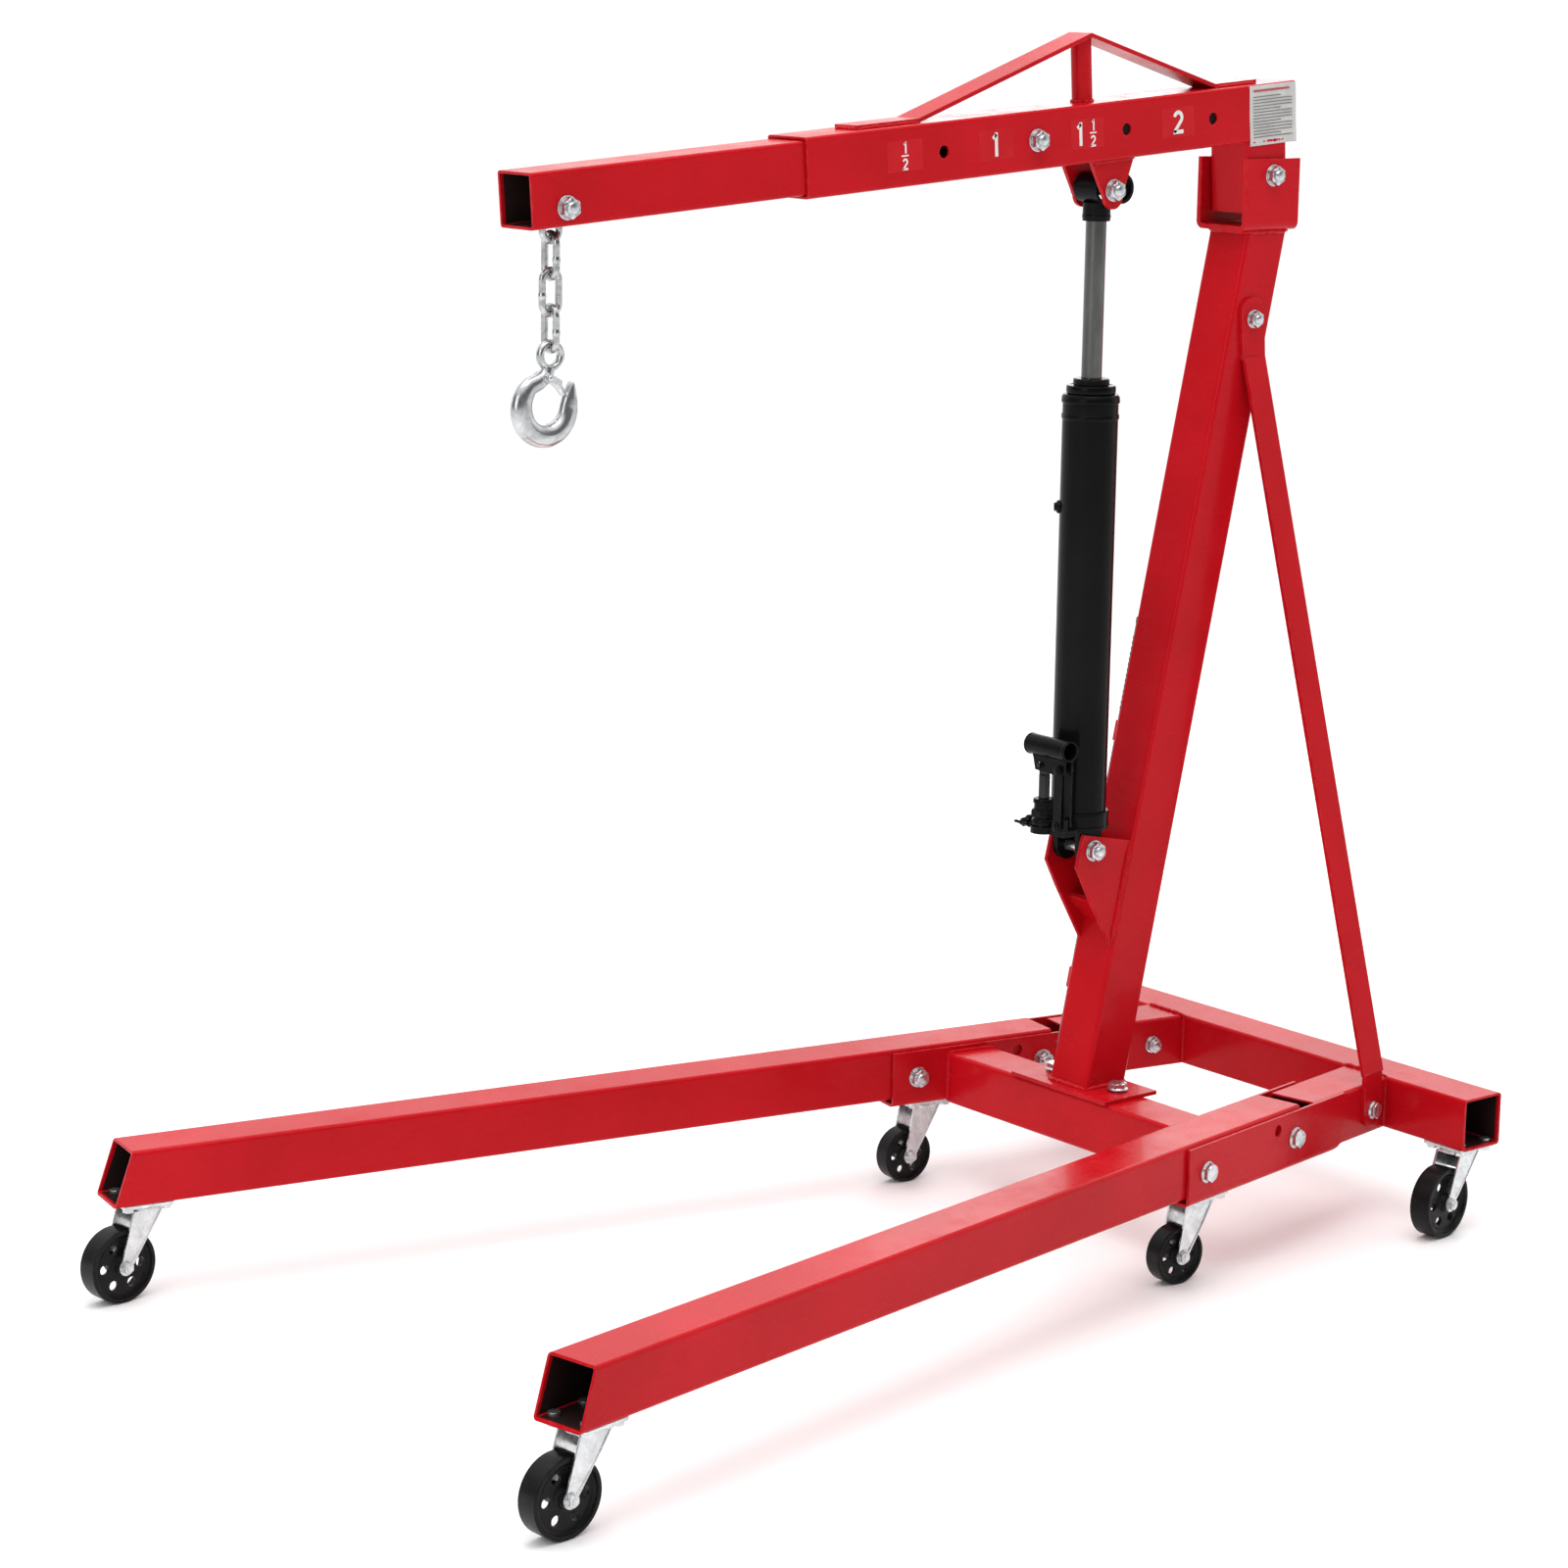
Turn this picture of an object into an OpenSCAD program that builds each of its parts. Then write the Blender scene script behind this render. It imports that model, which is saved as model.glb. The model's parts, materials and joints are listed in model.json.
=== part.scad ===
// Folding hydraulic engine hoist, all lengths in millimetres.
// X runs forward along the boom, Y to the left, Z up from the floor.

/* [Base] */
// Angle by which each side rail and leg toes out
splay = 10.5; // [10:0.1:11]
// Square tube used for mast, legs and cross tubes
tube = 68; // [66:0.5:68]
// Wall of the square tubes
wall = 3; // [2.5:0.5:4]
// Outer corner radius of the square tubes
tube_round = 5; // [3:0.5:7]
// Leg pivot, distance behind the origin
leg_pivot_back = 508; // [506:1:510]
// Leg pivot, distance out from the centre line
leg_pivot_side = 225; // [223:1:227]
// Leg pivot height
leg_pivot_z = 151; // [150.5:0.1:151.5]
// Leg length in front of its pivot, along the bottom face
leg_length = 1284; // [1200:1:1284]
// Length lost along the top face by the slanted tip
leg_slant = 23; // [0:1:30]
// Lock bolt distance in front of the leg pivot
leg_lock = 191; // [185:1:200]
// Bolt radius at the leg pivots and locks
leg_bolt_r = 7; // [6:0.5:7]

/* [Mast] */
// Backward lean of the mast in degrees
mast_lean = 12.2; // [12:0.1:12.4]
// Front bottom edge of the mast behind the origin
mast_foot_back = 371.4; // [371:0.1:372]
// Height of the mast's square-cut top
mast_top = 1254; // [1250:1:1256]
// Boom pivot behind the origin
boom_pivot_back = 635; // [634:0.5:636]
// Boom pivot height
boom_pivot_z = 1322.5; // [1321:0.5:1324]

/* [Boom] */
// Downward tilt of the boom in degrees
boom_tilt = 4.11; // [4:0.01:4.2]
// Boom tube, square
boom_size = 70; // [70:0.5:72]
// Boom length in front of the pivot
boom_front = 738; // [730:1:745]
// Boom length behind the pivot
boom_rear = 49; // [45:1:55]
// Height of the boom's underside above the pivot
boom_rise = 43; // [42:0.5:46]
// First lock hole in front of the pivot
lock_hole_first = 95; // [90:1:100]
// Spacing of the lock holes
lock_hole_pitch = 146; // [146:0.5:147]
// Extension tube, square
ext_size = 62; // [60:0.5:63]
// Front end of the extension in front of the pivot
ext_front = 1117; // [1112:1:1122]
// Hook bolt in front of the pivot
hook_bolt_at = 1071; // [1068:1:1074]
// Peak of the carry strap above the pivot
strap_peak = 192.5; // [180:0.5:196]

/* [Ram] */
// Ram axis behind the origin
ram_back = 376; // [375.5:0.1:376.5]
// Height of the ram's lower pin
ram_low_z = 492; // [491:0.5:493]
// Height of the ram's upper pin
ram_high_z = 1310; // [1309:0.5:1311]
// Cylinder radius
cyl_r = 34.5; // [32:0.5:35]
// Rod radius
rod_r = 12.7; // [12:0.1:13]
// Bolt radius at both ram pins
ram_bolt_r = 7; // [6.5:0.5:8]

/* [Casters] */
// Large wheel diameter
wheel_big = 90; // [88:1:92]
// Small wheel diameter
wheel_small = 72; // [70:1:74]
// Large wheel width
wheel_big_w = 28; // [24:1:30]
// Small wheel width
wheel_small_w = 24; // [20:1:26]
// Axle radius
axle_r = 4; // [3.5:0.5:5]

/* [Chain] */
// Chain wire radius
wire_r = 4; // [3.5:0.1:4.2]
// Outer length of a link
link_length = 56; // [54:0.5:57]
// Outer width of a link
link_width = 30; // [28:0.5:31]

/* [Hidden] */
$fn = 64;
run_gap = 0.05;        // radial gap of turning fits
bolt_gap = 0.4;        // radial gap of bolted holes
big = 4000;

red = [0.72, 0.05, 0.08];
black = [0.06, 0.06, 0.065];
zinc = [0.72, 0.73, 0.75];
steel = [0.55, 0.56, 0.58];

leg_bottom = leg_pivot_z - 30;
leg_rear = 16;
channel_rear = 111;
channel_front = 228;
channel_half = 39;
channel_t = 4;
channel_low = 112;
channel_high = 185;
rail_width = 70;
rail_start = 50;
rail_low = 116;
rear_tube_x = -758;
rear_tube_z = 150;
rear_tube_half = 355;
front_tube_x = -392;
front_tube_z = 143;
plate_low = front_tube_z + tube/2;
plate_t = 5;
plate_bolt_x = -405;
plate_bolt_y = 57;
plate_bolt_r = 7;
stop_hole_u = 39;
stop_hole_z = 168;
lock_z = leg_pivot_z - 1;

brace_w = 39.5;
brace_t = 5;
brace_top = [-614, tube/2, 1145];
brace_low_u = -177;
brace_low_z = 149;
brace_bolt_r = 6;
brace_straight = 50;

caster_plate_size = 62;
caster_plate_t = 4;
race_r = 20;
race_h = 5;
fork_t = 2.5;
fork_gap = 2;
fork_top_r = 22;
king_r = 5;
caster_bolt_at = 23;
caster_bolt_r = 4;
front_u = 1241;
mid_u = 164;
rear_y = 318;
trail_front = 34;
trail_mid = 26;
trail_rear = 38;
head_fl = 4;
head_fr = 5.5;
head_ml = -3;
head_mr = -4;
head_rl = 8;
head_rr = -14;

head_t = 6;
head_half = 43;
head_front = -589;
head_rear = -682;
head_high = 1343;
pivot_r = 7;
post_low = 45;
post_wall = 4;

lock_hole_n = 4;
lock_bolt_at = lock_hole_first + 2*lock_hole_pitch;
lock_h = boom_rise + boom_size/2;
lock_bolt_r = 7;
ext_rear = 350;
ext_low = lock_h - ext_size/2;
hook_bolt_h = 67.4;
boom_cos = cos(boom_tilt);
boom_sin = sin(boom_tilt);
ram_dx = boom_pivot_back - ram_back;
ram_dz = ram_high_z - boom_pivot_z;
ram_b = ram_dx*boom_cos - ram_dz*boom_sin;
ram_h = ram_dx*boom_sin + ram_dz*boom_cos;
bracket_in = 23.5;
bracket_t = 5;
strap_w = 40;
strap_t = 5;
strap_top_b = 281;
strap_flat_h = boom_rise + boom_size + strap_t/2;
slot_travel = 146;

collar_r = 38;
collar_low = 518;
collar_high = 540;
cyl_high = 1060;
gland_r = 27;
gland_high = 1080;
cyl_bore_r = 27.5;
rod_low = 800;
rod_high = 1272;
ear_in = 16;
ear_out = 24;
low_bracket_in = 25.5;
eye_slot_r = 15;
eye_r = 18.5;
eye_half = 20;
eye_rear = -23.6;
eye_front = 2.4;
eye_up = 1.2;
pump_x = -317;
pump_barrel_r = 12;
plunger_r = 7;
socket_z = 627;
socket_r = 13;
socket_bore_r = 10.6;
socket_low_y = -25;
socket_high_y = 45;
fulcrum_y = 34;
fulcrum_z = 603;
plunger_pin_z = 604;
lever_pin_r = 3;
cheek_t = 2.5;
cheek_in = 4.5;
link_foot_z = 532;
valve_y = -24;
valve_z = 528;

handle_r = 10.25;
handle_length = 560;
handle_start = 40;
handle_y = -52;
clip_t = 2;
clip_h = 26;
clip_low = 118;
clip_high = 440;

washer_t = 1.5;
link_span = link_length - 2*wire_r;
bend_r = link_width/2 - wire_r;
link_gap = 2*wire_r + 0.3;
chain_x = -boom_pivot_back + hook_bolt_at*boom_cos + hook_bolt_h*boom_sin;
hook_bolt_z = boom_pivot_z - hook_bolt_at*boom_sin + hook_bolt_h*boom_cos;
hook_bolt_r = 6;
hook_head_r = 7;
link_1_top = hook_bolt_z + hook_bolt_r + wire_r + 0.2;
link_1_low = link_1_top - link_span;
link_2_low = link_1_low + link_gap - link_span;
link_3_low = link_2_low + link_gap - link_span;
link_4_low = link_3_low + link_gap - link_span;
eye_in_r = 9.5;
eye_out_r = 18;
eye_z = link_4_low + wire_r + 0.3 - eye_in_r;
bowl_x = chain_x + 7;
bowl_z = eye_z - 57;
bowl_r = 32;
bowl_wire = 12;
latch_x = chain_x + 9;
latch_z = eye_z - 24;
latch_pin_r = 2;

// Rounded rectangle centred on the origin
module rounded(w, h, r) {
  square([w - 2*r, h], center=true);
  square([w, h - 2*r], center=true);
  for (x=[-1, 1], y=[-1, 1])
    translate([x*(w/2 - r), y*(h/2 - r)]) circle(r);
}

// Rectangular tube from x=0 forward, centred on the X axis
module tube_x(len, w, h, t, r) {
  rotate([90, 0, 90])
    linear_extrude(len)
      difference() {
        rounded(w, h, r);
        rounded(w - 2*t, h - 2*t, max(r - t, 1));
      }
}

// Cylinder along Y, centred
module rod_y(r, len) {
  rotate([90, 0, 0]) cylinder(r=r, h=len, center=true);
}

// Hexagonal prism along Y, from y=0 toward +Y
module hex_y(r, h) {
  rotate([-90, 0, 0]) cylinder(r=r, h=h, $fn=6);
}

// Hex bolt and nut along Y clamping everything between y=low and y=high, head at the low side
module bolt_y(r, low, high, head_r) {
  head = 1.25*head_r;
  translate([0, (low + high)/2, 0]) rod_y(r, high - low);
  translate([0, low - head, 0]) hex_y(1.75*head_r, head);
  translate([0, low - washer_t, 0]) rotate([-90, 0, 0]) cylinder(r=2.1*head_r, h=washer_t);
  translate([0, high, 0]) hex_y(1.75*head_r, 1.5*head_r);
  translate([0, high, 0]) rotate([-90, 0, 0]) cylinder(r=r*0.95, h=2.1*head_r);
  translate([0, high, 0]) rotate([-90, 0, 0]) cylinder(r=2.1*head_r, h=washer_t);
}

// Flat bar with fully rounded ends at two 2D points
module link_2d(a, b, r) {
  d = b - a;
  translate(a) circle(r);
  translate(b) circle(r);
  translate(a) rotate(atan2(d[1], d[0])) translate([0, -r]) square([norm(d), 2*r]);
}

// Plate in the XZ plane between two Y values
module plate_y(low, high) {
  translate([0, high, 0]) rotate([90, 0, 0]) linear_extrude(high - low) children();
}

// Frame of one side: u forward along the leg, v outward, z from the floor
module side(s) {
  if (s > 0)
    translate([-leg_pivot_back, leg_pivot_side, 0]) rotate([0, 0, splay]) children();
  else
    mirror([0, 1, 0])
      translate([-leg_pivot_back, leg_pivot_side, 0]) rotate([0, 0, splay]) children();
}

// Frame of the mast: x forward from its front face, z along it from the foot
module at_mast() {
  translate([-mast_foot_back, 0, plate_low + plate_t - 1]) rotate([0, -mast_lean, 0]) children();
}

// Frame of the boom: x forward along it and z above the pivot
module at_boom() {
  translate([-boom_pivot_back, 0, boom_pivot_z]) rotate([0, boom_tilt, 0]) children();
}

// Four positions of the bolts that hold a caster plate
module at_caster_bolts() {
  for (x=[-1, 1], y=[-1, 1])
    translate([x*caster_bolt_at, y*caster_bolt_at, 0]) children();
}

// Vertical holes for caster bolts through a wall at height z
module caster_holes(z) {
  at_caster_bolts() translate([0, 0, z - 8]) cylinder(r=caster_bolt_r + bolt_gap, h=20);
}

// ---------- base frame ----------

module rear_crossbar() {
  color(red)
    difference() {
      translate([rear_tube_x, -rear_tube_half, rear_tube_z])
        rotate([0, 0, 90]) tube_x(2*rear_tube_half, tube, tube, wall, tube_round);
      for (s=[-1, 1])
        translate([rear_tube_x, s*rear_y, 0]) caster_holes(rear_tube_z - tube/2);
    }
}

module rail_solid() {
  difference() {
    translate([-rail_start - 260, 0, rail_low + tube/2])
      tube_x(260, rail_width, tube, wall, tube_round);
    translate([brace_low_u, 0, brace_low_z]) rod_y(brace_bolt_r + bolt_gap, 2*rail_width);
    rotate([0, 0, -splay])
      translate([leg_pivot_back + rear_tube_x + tube/2 - big, -big/2, 0]) cube([big, big, big]);
  }
}

module side_rails() {
  color(red)
    for (s=[-1, 1])
      side(s) rail_solid();
}

module channel_solid() {
  length = channel_rear + channel_front;
  round_r = 8;
  end_r = 26;
  difference() {
    translate([-channel_rear, 0, 0])
      rotate([90, 0, 90])
        linear_extrude(length)
          difference() {
            translate([0, (channel_low + channel_high)/2])
              union() {
                rounded(2*channel_half, channel_high - channel_low, round_r);
                translate([-channel_half, 0])
                  square([2*channel_half, (channel_high - channel_low)/2]);
              }
            translate([-channel_half + channel_t, channel_low + channel_t])
              square([2*(channel_half - channel_t), channel_high]);
          }
    translate([0, 0, leg_pivot_z]) rod_y(leg_bolt_r + bolt_gap, 4*channel_half);
    translate([leg_lock, 0, lock_z]) rod_y(leg_bolt_r + bolt_gap, 4*channel_half);
    translate([stop_hole_u, 0, stop_hole_z]) rod_y(leg_bolt_r + bolt_gap, 4*channel_half);
    translate([mid_u, 0, 0]) caster_holes(channel_low);
    difference() {
      translate([-channel_rear - 1, -big/2, channel_low - 1]) cube([end_r + 1, big, end_r + 1]);
      translate([-channel_rear + end_r, 0, channel_low + end_r]) rod_y(end_r, big);
    }
  }
}

module channel_left() {
  color(red) side(1) channel_solid();
}

module channel_right() {
  color(red) side(-1) channel_solid();
}

module front_crossbar() {
  color(red)
    difference() {
      translate([front_tube_x, -260, front_tube_z])
        rotate([0, 0, 90]) tube_x(520, tube, tube, wall, tube_round);
      for (s=[-1, 1]) {
        side(s) translate([-300, -channel_half, 0]) cube([800, 300, 400]);
        translate([plate_bolt_x, s*plate_bolt_y, 90]) cylinder(r=plate_bolt_r + bolt_gap, h=120);
      }
    }
}

module mast_base_plate() {
  color(red)
    difference() {
      translate([-445, -87, plate_low]) cube([90, 174, plate_t]);
      for (s=[-1, 1])
        translate([plate_bolt_x, s*plate_bolt_y, 90]) cylinder(r=plate_bolt_r + bolt_gap, h=120);
    }
}

module base_plate_bolts() {
  color(zinc)
    for (s=[-1, 1])
      translate([plate_bolt_x, s*plate_bolt_y, plate_low + plate_t]) {
        translate([0, 0, -94]) cylinder(r=plate_bolt_r, h=94);
        cylinder(r=15, h=2);
        translate([0, 0, 2]) cylinder(r=12.5, h=9, $fn=6);
        translate([0, 0, -tube - plate_t - 2]) cylinder(r=15, h=2);
        translate([0, 0, -tube - plate_t - 13]) cylinder(r=12.5, h=11, $fn=6);
      }
}

module mast() {
  color(red)
    difference() {
      at_mast()
        translate([-tube/2, 0, -60])
          rotate([0, -90, 0]) tube_x(1300, tube, tube, wall, tube_round);
      translate([-big/2, -big/2, plate_low + plate_t - big]) cube([big, big, big]);
      translate([-big/2, -big/2, mast_top]) cube([big, big, big]);
      translate([brace_top[0], 0, brace_top[2]]) rod_y(brace_bolt_r + bolt_gap, 2*tube);
    }
}

module mast_head_bracket() {
  inner = head_half - head_t;
  color(red)
    difference() {
      translate([head_rear, 0, 0])
        rotate([90, 0, 90])
          linear_extrude(head_front - head_rear)
            difference() {
              translate([0, (mast_top + head_high)/2])
                union() {
                  rounded(2*head_half, head_high - mast_top, 10);
                  translate([-head_half, 0]) square([2*head_half, (head_high - mast_top)/2]);
                }
              translate([0, (mast_top + head_high)/2 + head_t])
                union() {
                  rounded(2*inner, head_high - mast_top, 4);
                  translate([-inner, 0]) square([2*inner, head_high - mast_top]);
                }
            }
      translate([-boom_pivot_back, 0, boom_pivot_z]) rod_y(pivot_r + 0.15, 4*head_half);
    }
}

module boom_pivot_bolt() {
  color(zinc)
    translate([-boom_pivot_back, 0, boom_pivot_z]) bolt_y(pivot_r, -head_half, head_half, pivot_r);
}

// Side plate of the lower ram bracket, in mast coordinates
module low_bracket_2d() {
  difference() {
    polygon([[0, 187], [0, 323], [83, 323], [84, 281], [58, 250]]);
    rotate(-mast_lean) translate([mast_foot_back - ram_back, ram_low_z - plate_low - plate_t + 1])
      circle(ram_bolt_r + bolt_gap);
  }
}

module ram_lower_bracket() {
  color(red)
    at_mast() {
      for (s=[-1, 1])
        translate([0, s*(low_bracket_in + bracket_t/2), 0])
          plate_y(-bracket_t/2, bracket_t/2) low_bracket_2d();
      plate_y(-low_bracket_in, low_bracket_in) polygon([[0, 215], [0, 221], [32, 244], [36, 239]]);
    }
}

module ram_lower_bolt() {
  edge = low_bracket_in + bracket_t;
  color(zinc)
    translate([-ram_back, 0, ram_low_z]) bolt_y(ram_bolt_r, -edge, edge, ram_bolt_r);
}

module handle_clips() {
  color(red)
    at_mast()
      for (w=[clip_low, clip_high])
        translate([-tube/2, 0, w])
          difference() {
            union() {
              translate([0, handle_y, 0]) cylinder(r=handle_r + 0.3 + clip_t, h=clip_h);
              translate([-5, handle_y, 0]) cube([10, -handle_y - tube/2, clip_h]);
              translate([-14, -tube/2 - clip_t, 0]) cube([28, clip_t, clip_h]);
            }
            translate([0, handle_y, -1]) cylinder(r=handle_r + 0.3, h=clip_h + 2);
            translate([-7, handle_y - 30, -1]) cube([14, 30, clip_h + 2]);
          }
}

module leg_bolts() {
  color(zinc)
    for (s=[-1, 1], p=[[0, leg_pivot_z], [leg_lock, lock_z]])
      side(s)
        translate([p[0], 0, p[1]])
          mirror([0, 1, 0]) bolt_y(leg_bolt_r, -channel_half, channel_half, leg_bolt_r);
}

// ---------- braces ----------

brace_foot = [
  -leg_pivot_back + brace_low_u*cos(splay) - rail_width/2*sin(splay),
  leg_pivot_side + brace_low_u*sin(splay) + rail_width/2*cos(splay),
  brace_low_z
];
brace_rise = brace_top[2] - brace_low_z;
brace_run = brace_top[0] - brace_foot[0];
brace_in = brace_foot[1] - brace_top[1];
top_lean = atan2(brace_run, brace_rise);
foot_lean = atan2(brace_run*cos(splay) - brace_in*sin(splay), brace_rise);

// End tab with a bolt hole; the bar leaves it along local -z (dir -1) or +z (dir 1)
module brace_tab(beyond, dir) {
  reach = beyond - brace_w/2;
  difference() {
    plate_y(0, brace_t)
      link_2d([0, -dir*reach], [0, dir*(brace_straight - brace_w/2)], brace_w/2);
    rod_y(brace_bolt_r + bolt_gap, 40);
  }
  plate_y(0, brace_t)
    translate([-brace_w/2, dir > 0 ? brace_straight - brace_w/2 : -brace_straight])
      square([brace_w, brace_w/2]);
}

module at_brace_top() {
  translate(brace_top) rotate([0, top_lean, 0]) children();
}

module at_brace_foot() {
  translate(brace_foot) rotate([0, 0, splay]) rotate([0, foot_lean, 0]) children();
}

// Straight run between the two tabs, turned half way between them
module brace_run_bar() {
  h = brace_t/2;
  up = brace_top + [-brace_straight*sin(top_lean), h + 2, -brace_straight*cos(top_lean)];
  out = brace_straight*sin(foot_lean);
  down = brace_foot + [
    out*cos(splay) - h*sin(splay), out*sin(splay) + h*cos(splay), brace_straight*cos(foot_lean)
  ];
  d = up - down;
  dx = d[0]*cos(splay/2) + d[1]*sin(splay/2);
  dy = d[1]*cos(splay/2) - d[0]*sin(splay/2);
  translate(down)
    rotate([0, 0, splay/2])
      rotate([-asin(dy/norm(d)), atan2(dx, d[2]), 0])
        translate([-brace_w/2, -h, -2]) cube([brace_w, brace_t, norm(d) + 4]);
}

module brace_solid() {
  at_brace_top() brace_tab(27, -1);
  at_brace_foot() brace_tab(22, 1);
  brace_run_bar();
}

module brace_left() {
  color(red) brace_solid();
}

module brace_right() {
  color(red) mirror([0, 1, 0]) brace_solid();
}

module brace_bolts() {
  edge = tube/2 + brace_t;
  color(zinc) {
    translate([brace_top[0], 0, brace_top[2]]) bolt_y(brace_bolt_r, -edge, edge, brace_bolt_r);
    for (s=[-1, 1])
      side(s)
        translate([brace_low_u, 0, brace_low_z])
          mirror([0, 1, 0])
            bolt_y(brace_bolt_r, -rail_width/2 - brace_t, rail_width/2, brace_bolt_r);
  }
}

// ---------- legs ----------

module leg_solid() {
  slot = leg_bolt_r + 0.8;
  difference() {
    translate([-leg_rear, 0, leg_bottom + tube/2])
      tube_x(leg_rear + leg_length, tube, tube, wall, tube_round);
    plate_y(-tube, tube)
      polygon([
        [leg_length, leg_bottom], [leg_length - leg_slant, leg_bottom + tube],
        [leg_length + 50, leg_bottom + tube + 50], [leg_length + 50, leg_bottom - 50]
      ]);
    translate([0, 0, leg_pivot_z]) rod_y(leg_bolt_r + run_gap, 2*tube);
    translate([leg_lock, 0, lock_z]) rod_y(slot, 2*tube);
    translate([leg_lock - slot - 3, -tube, leg_bottom - 1])
      cube([2*slot + 3, 2*tube, lock_z - leg_bottom + 1]);
    translate([front_u, 0, 0]) caster_holes(leg_bottom);
  }
}

module leg_left() {
  color(red) side(1) leg_solid();
}

module leg_right() {
  color(red) side(-1) leg_solid();
}

// ---------- casters ----------

// Top plate with race under a wall at height z, turned by angle a
module caster_plate(z) {
  translate([0, 0, z - caster_plate_t])
    difference() {
      union() {
        translate([0, 0, caster_plate_t/2])
          cube([caster_plate_size, caster_plate_size, caster_plate_t], center=true);
        translate([0, 0, -race_h]) cylinder(r=race_r, h=race_h + 1);
      }
      translate([0, 0, -race_h - 1]) cylinder(r=king_r + run_gap, h=20);
      at_caster_bolts() translate([0, 0, -1]) cylinder(r=caster_bolt_r + bolt_gap, h=10);
    }
}

// Four bolts of a caster plate under a wall of thickness t
module caster_bolt_set(z, t) {
  at_caster_bolts() {
    translate([0, 0, z - caster_plate_t - 4]) cylinder(r=caster_bolt_r, h=8 + t + 3);
    translate([0, 0, z - caster_plate_t - 4.6]) cylinder(r=7.5, h=4.6, $fn=6);
    translate([0, 0, z + t]) cylinder(r=7, h=3.6);
  }
}

module caster_plates() {
  color(zinc) {
    for (s=[-1, 1]) {
      side(s) translate([mid_u, 0, 0]) caster_plate(channel_low);
      translate([rear_tube_x, s*rear_y, 0]) caster_plate(rear_tube_z - tube/2);
    }
  }
}

module caster_bolts() {
  color(steel)
    for (s=[-1, 1]) {
      side(s) translate([mid_u, 0, 0]) caster_bolt_set(channel_low, channel_t);
      translate([rear_tube_x, s*rear_y, 0]) caster_bolt_set(rear_tube_z - tube/2, wall);
    }
}

module leg_caster_plate(s) {
  side(s) translate([front_u, 0, 0]) {
    color(zinc) caster_plate(leg_bottom);
    color(zinc) caster_bolt_set(leg_bottom, wall);
  }
}

module leg_caster_plate_left() {
  leg_caster_plate(1);
}

module leg_caster_plate_right() {
  leg_caster_plate(-1);
}

// Fork hanging from the origin's Z axis, its wheel trailing toward +X
module fork_solid(mount_z, d, w, trail) {
  top = mount_z - caster_plate_t - race_h - 0.4;
  half = w/2 + fork_gap;
  boss = 10;
  fall = top - d/2;
  lean = atan2(trail - boss + fork_top_r, fall);
  strip = 0.4*fall/cos(lean);
  translate([0, 0, top - fork_t])
    linear_extrude(fork_t) {
      circle(fork_top_r + 1);
      square([2*fork_top_r - 1, 2*half + 2*fork_t], center=true);
    }
  for (s=[-1, 1])
    translate([0, s*(half + fork_t/2), 0])
      plate_y(-fork_t/2, fork_t/2) {
        polygon([
          [-fork_top_r, top], [fork_top_r, top],
          [trail + boss - 1.5, d/2], [trail - boss + 1.5, d/2]
        ]);
        translate([trail, d/2]) circle(boss);
      }
  translate([-fork_top_r + 0.4, -half - 1, top - fork_t*sin(lean) - 0.2])
    rotate([0, -lean, 0]) translate([0, 0, -strip]) cube([fork_t, 2*half + 2, strip]);
  translate([0, 0, top - 1]) cylinder(r=king_r, h=mount_z - top + 0.7);
  translate([trail, 0, d/2]) {
    rod_y(axle_r, 2*half + 2*fork_t + 4);
    for (s=[-1, 1])
      translate([0, s*(half + fork_t + 1.5), 0]) rod_y(7, 3);
  }
}

// Pressed wheel at the end of the trail, its drilled web nearer the outer face
module wheel_solid(d, w, trail) {
  rim = d/18;
  hub = d/8;
  hole_n = 6;
  hole_r = d/15;
  web_t = 4;
  translate([trail, 0, d/2])
    rotate([90, 0, 0])
      difference() {
        rotate_extrude() {
          translate([d/2 - rim/2, 0]) rounded(rim, w, 1.5);
          translate([axle_r + run_gap, -w/2]) square([hub - axle_r, w]);
          translate([axle_r + run_gap, -w/4 - web_t/2]) square([d/2 - rim - axle_r + 1, web_t]);
        }
        for (i=[0:hole_n - 1])
          rotate(i*360/hole_n) translate([(d/2 - rim + hub)/2, 0, -w]) cylinder(r=hole_r, h=2*w);
      }
}

module at_front(s, heading) {
  translate([
    -leg_pivot_back + front_u*cos(splay), s*(leg_pivot_side + front_u*sin(splay)), 0
  ]) rotate([0, 0, heading]) children();
}

module at_mid(s, heading) {
  translate([
    -leg_pivot_back + mid_u*cos(splay), s*(leg_pivot_side + mid_u*sin(splay)), 0
  ]) rotate([0, 0, heading]) children();
}

module at_rear(s, heading) {
  translate([rear_tube_x, s*rear_y, 0]) rotate([0, 0, heading]) children();
}

module fork_front_left() {
  color(zinc) at_front(1, head_fl) fork_solid(leg_bottom, wheel_big, wheel_big_w, trail_front);
}

module fork_front_right() {
  color(zinc) at_front(-1, head_fr) fork_solid(leg_bottom, wheel_big, wheel_big_w, trail_front);
}

module fork_mid_left() {
  color(zinc) at_mid(1, head_ml) fork_solid(channel_low, wheel_small, wheel_small_w, trail_mid);
}

module fork_mid_right() {
  color(zinc) at_mid(-1, head_mr) fork_solid(channel_low, wheel_small, wheel_small_w, trail_mid);
}

module fork_rear_left() {
  color(zinc)
    at_rear(1, head_rl) fork_solid(rear_tube_z - tube/2, wheel_big, wheel_big_w, trail_rear);
}

module fork_rear_right() {
  color(zinc)
    at_rear(-1, head_rr) fork_solid(rear_tube_z - tube/2, wheel_big, wheel_big_w, trail_rear);
}

module wheel_front_left() {
  color(black) at_front(1, head_fl) wheel_solid(wheel_big, wheel_big_w, trail_front);
}

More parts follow.
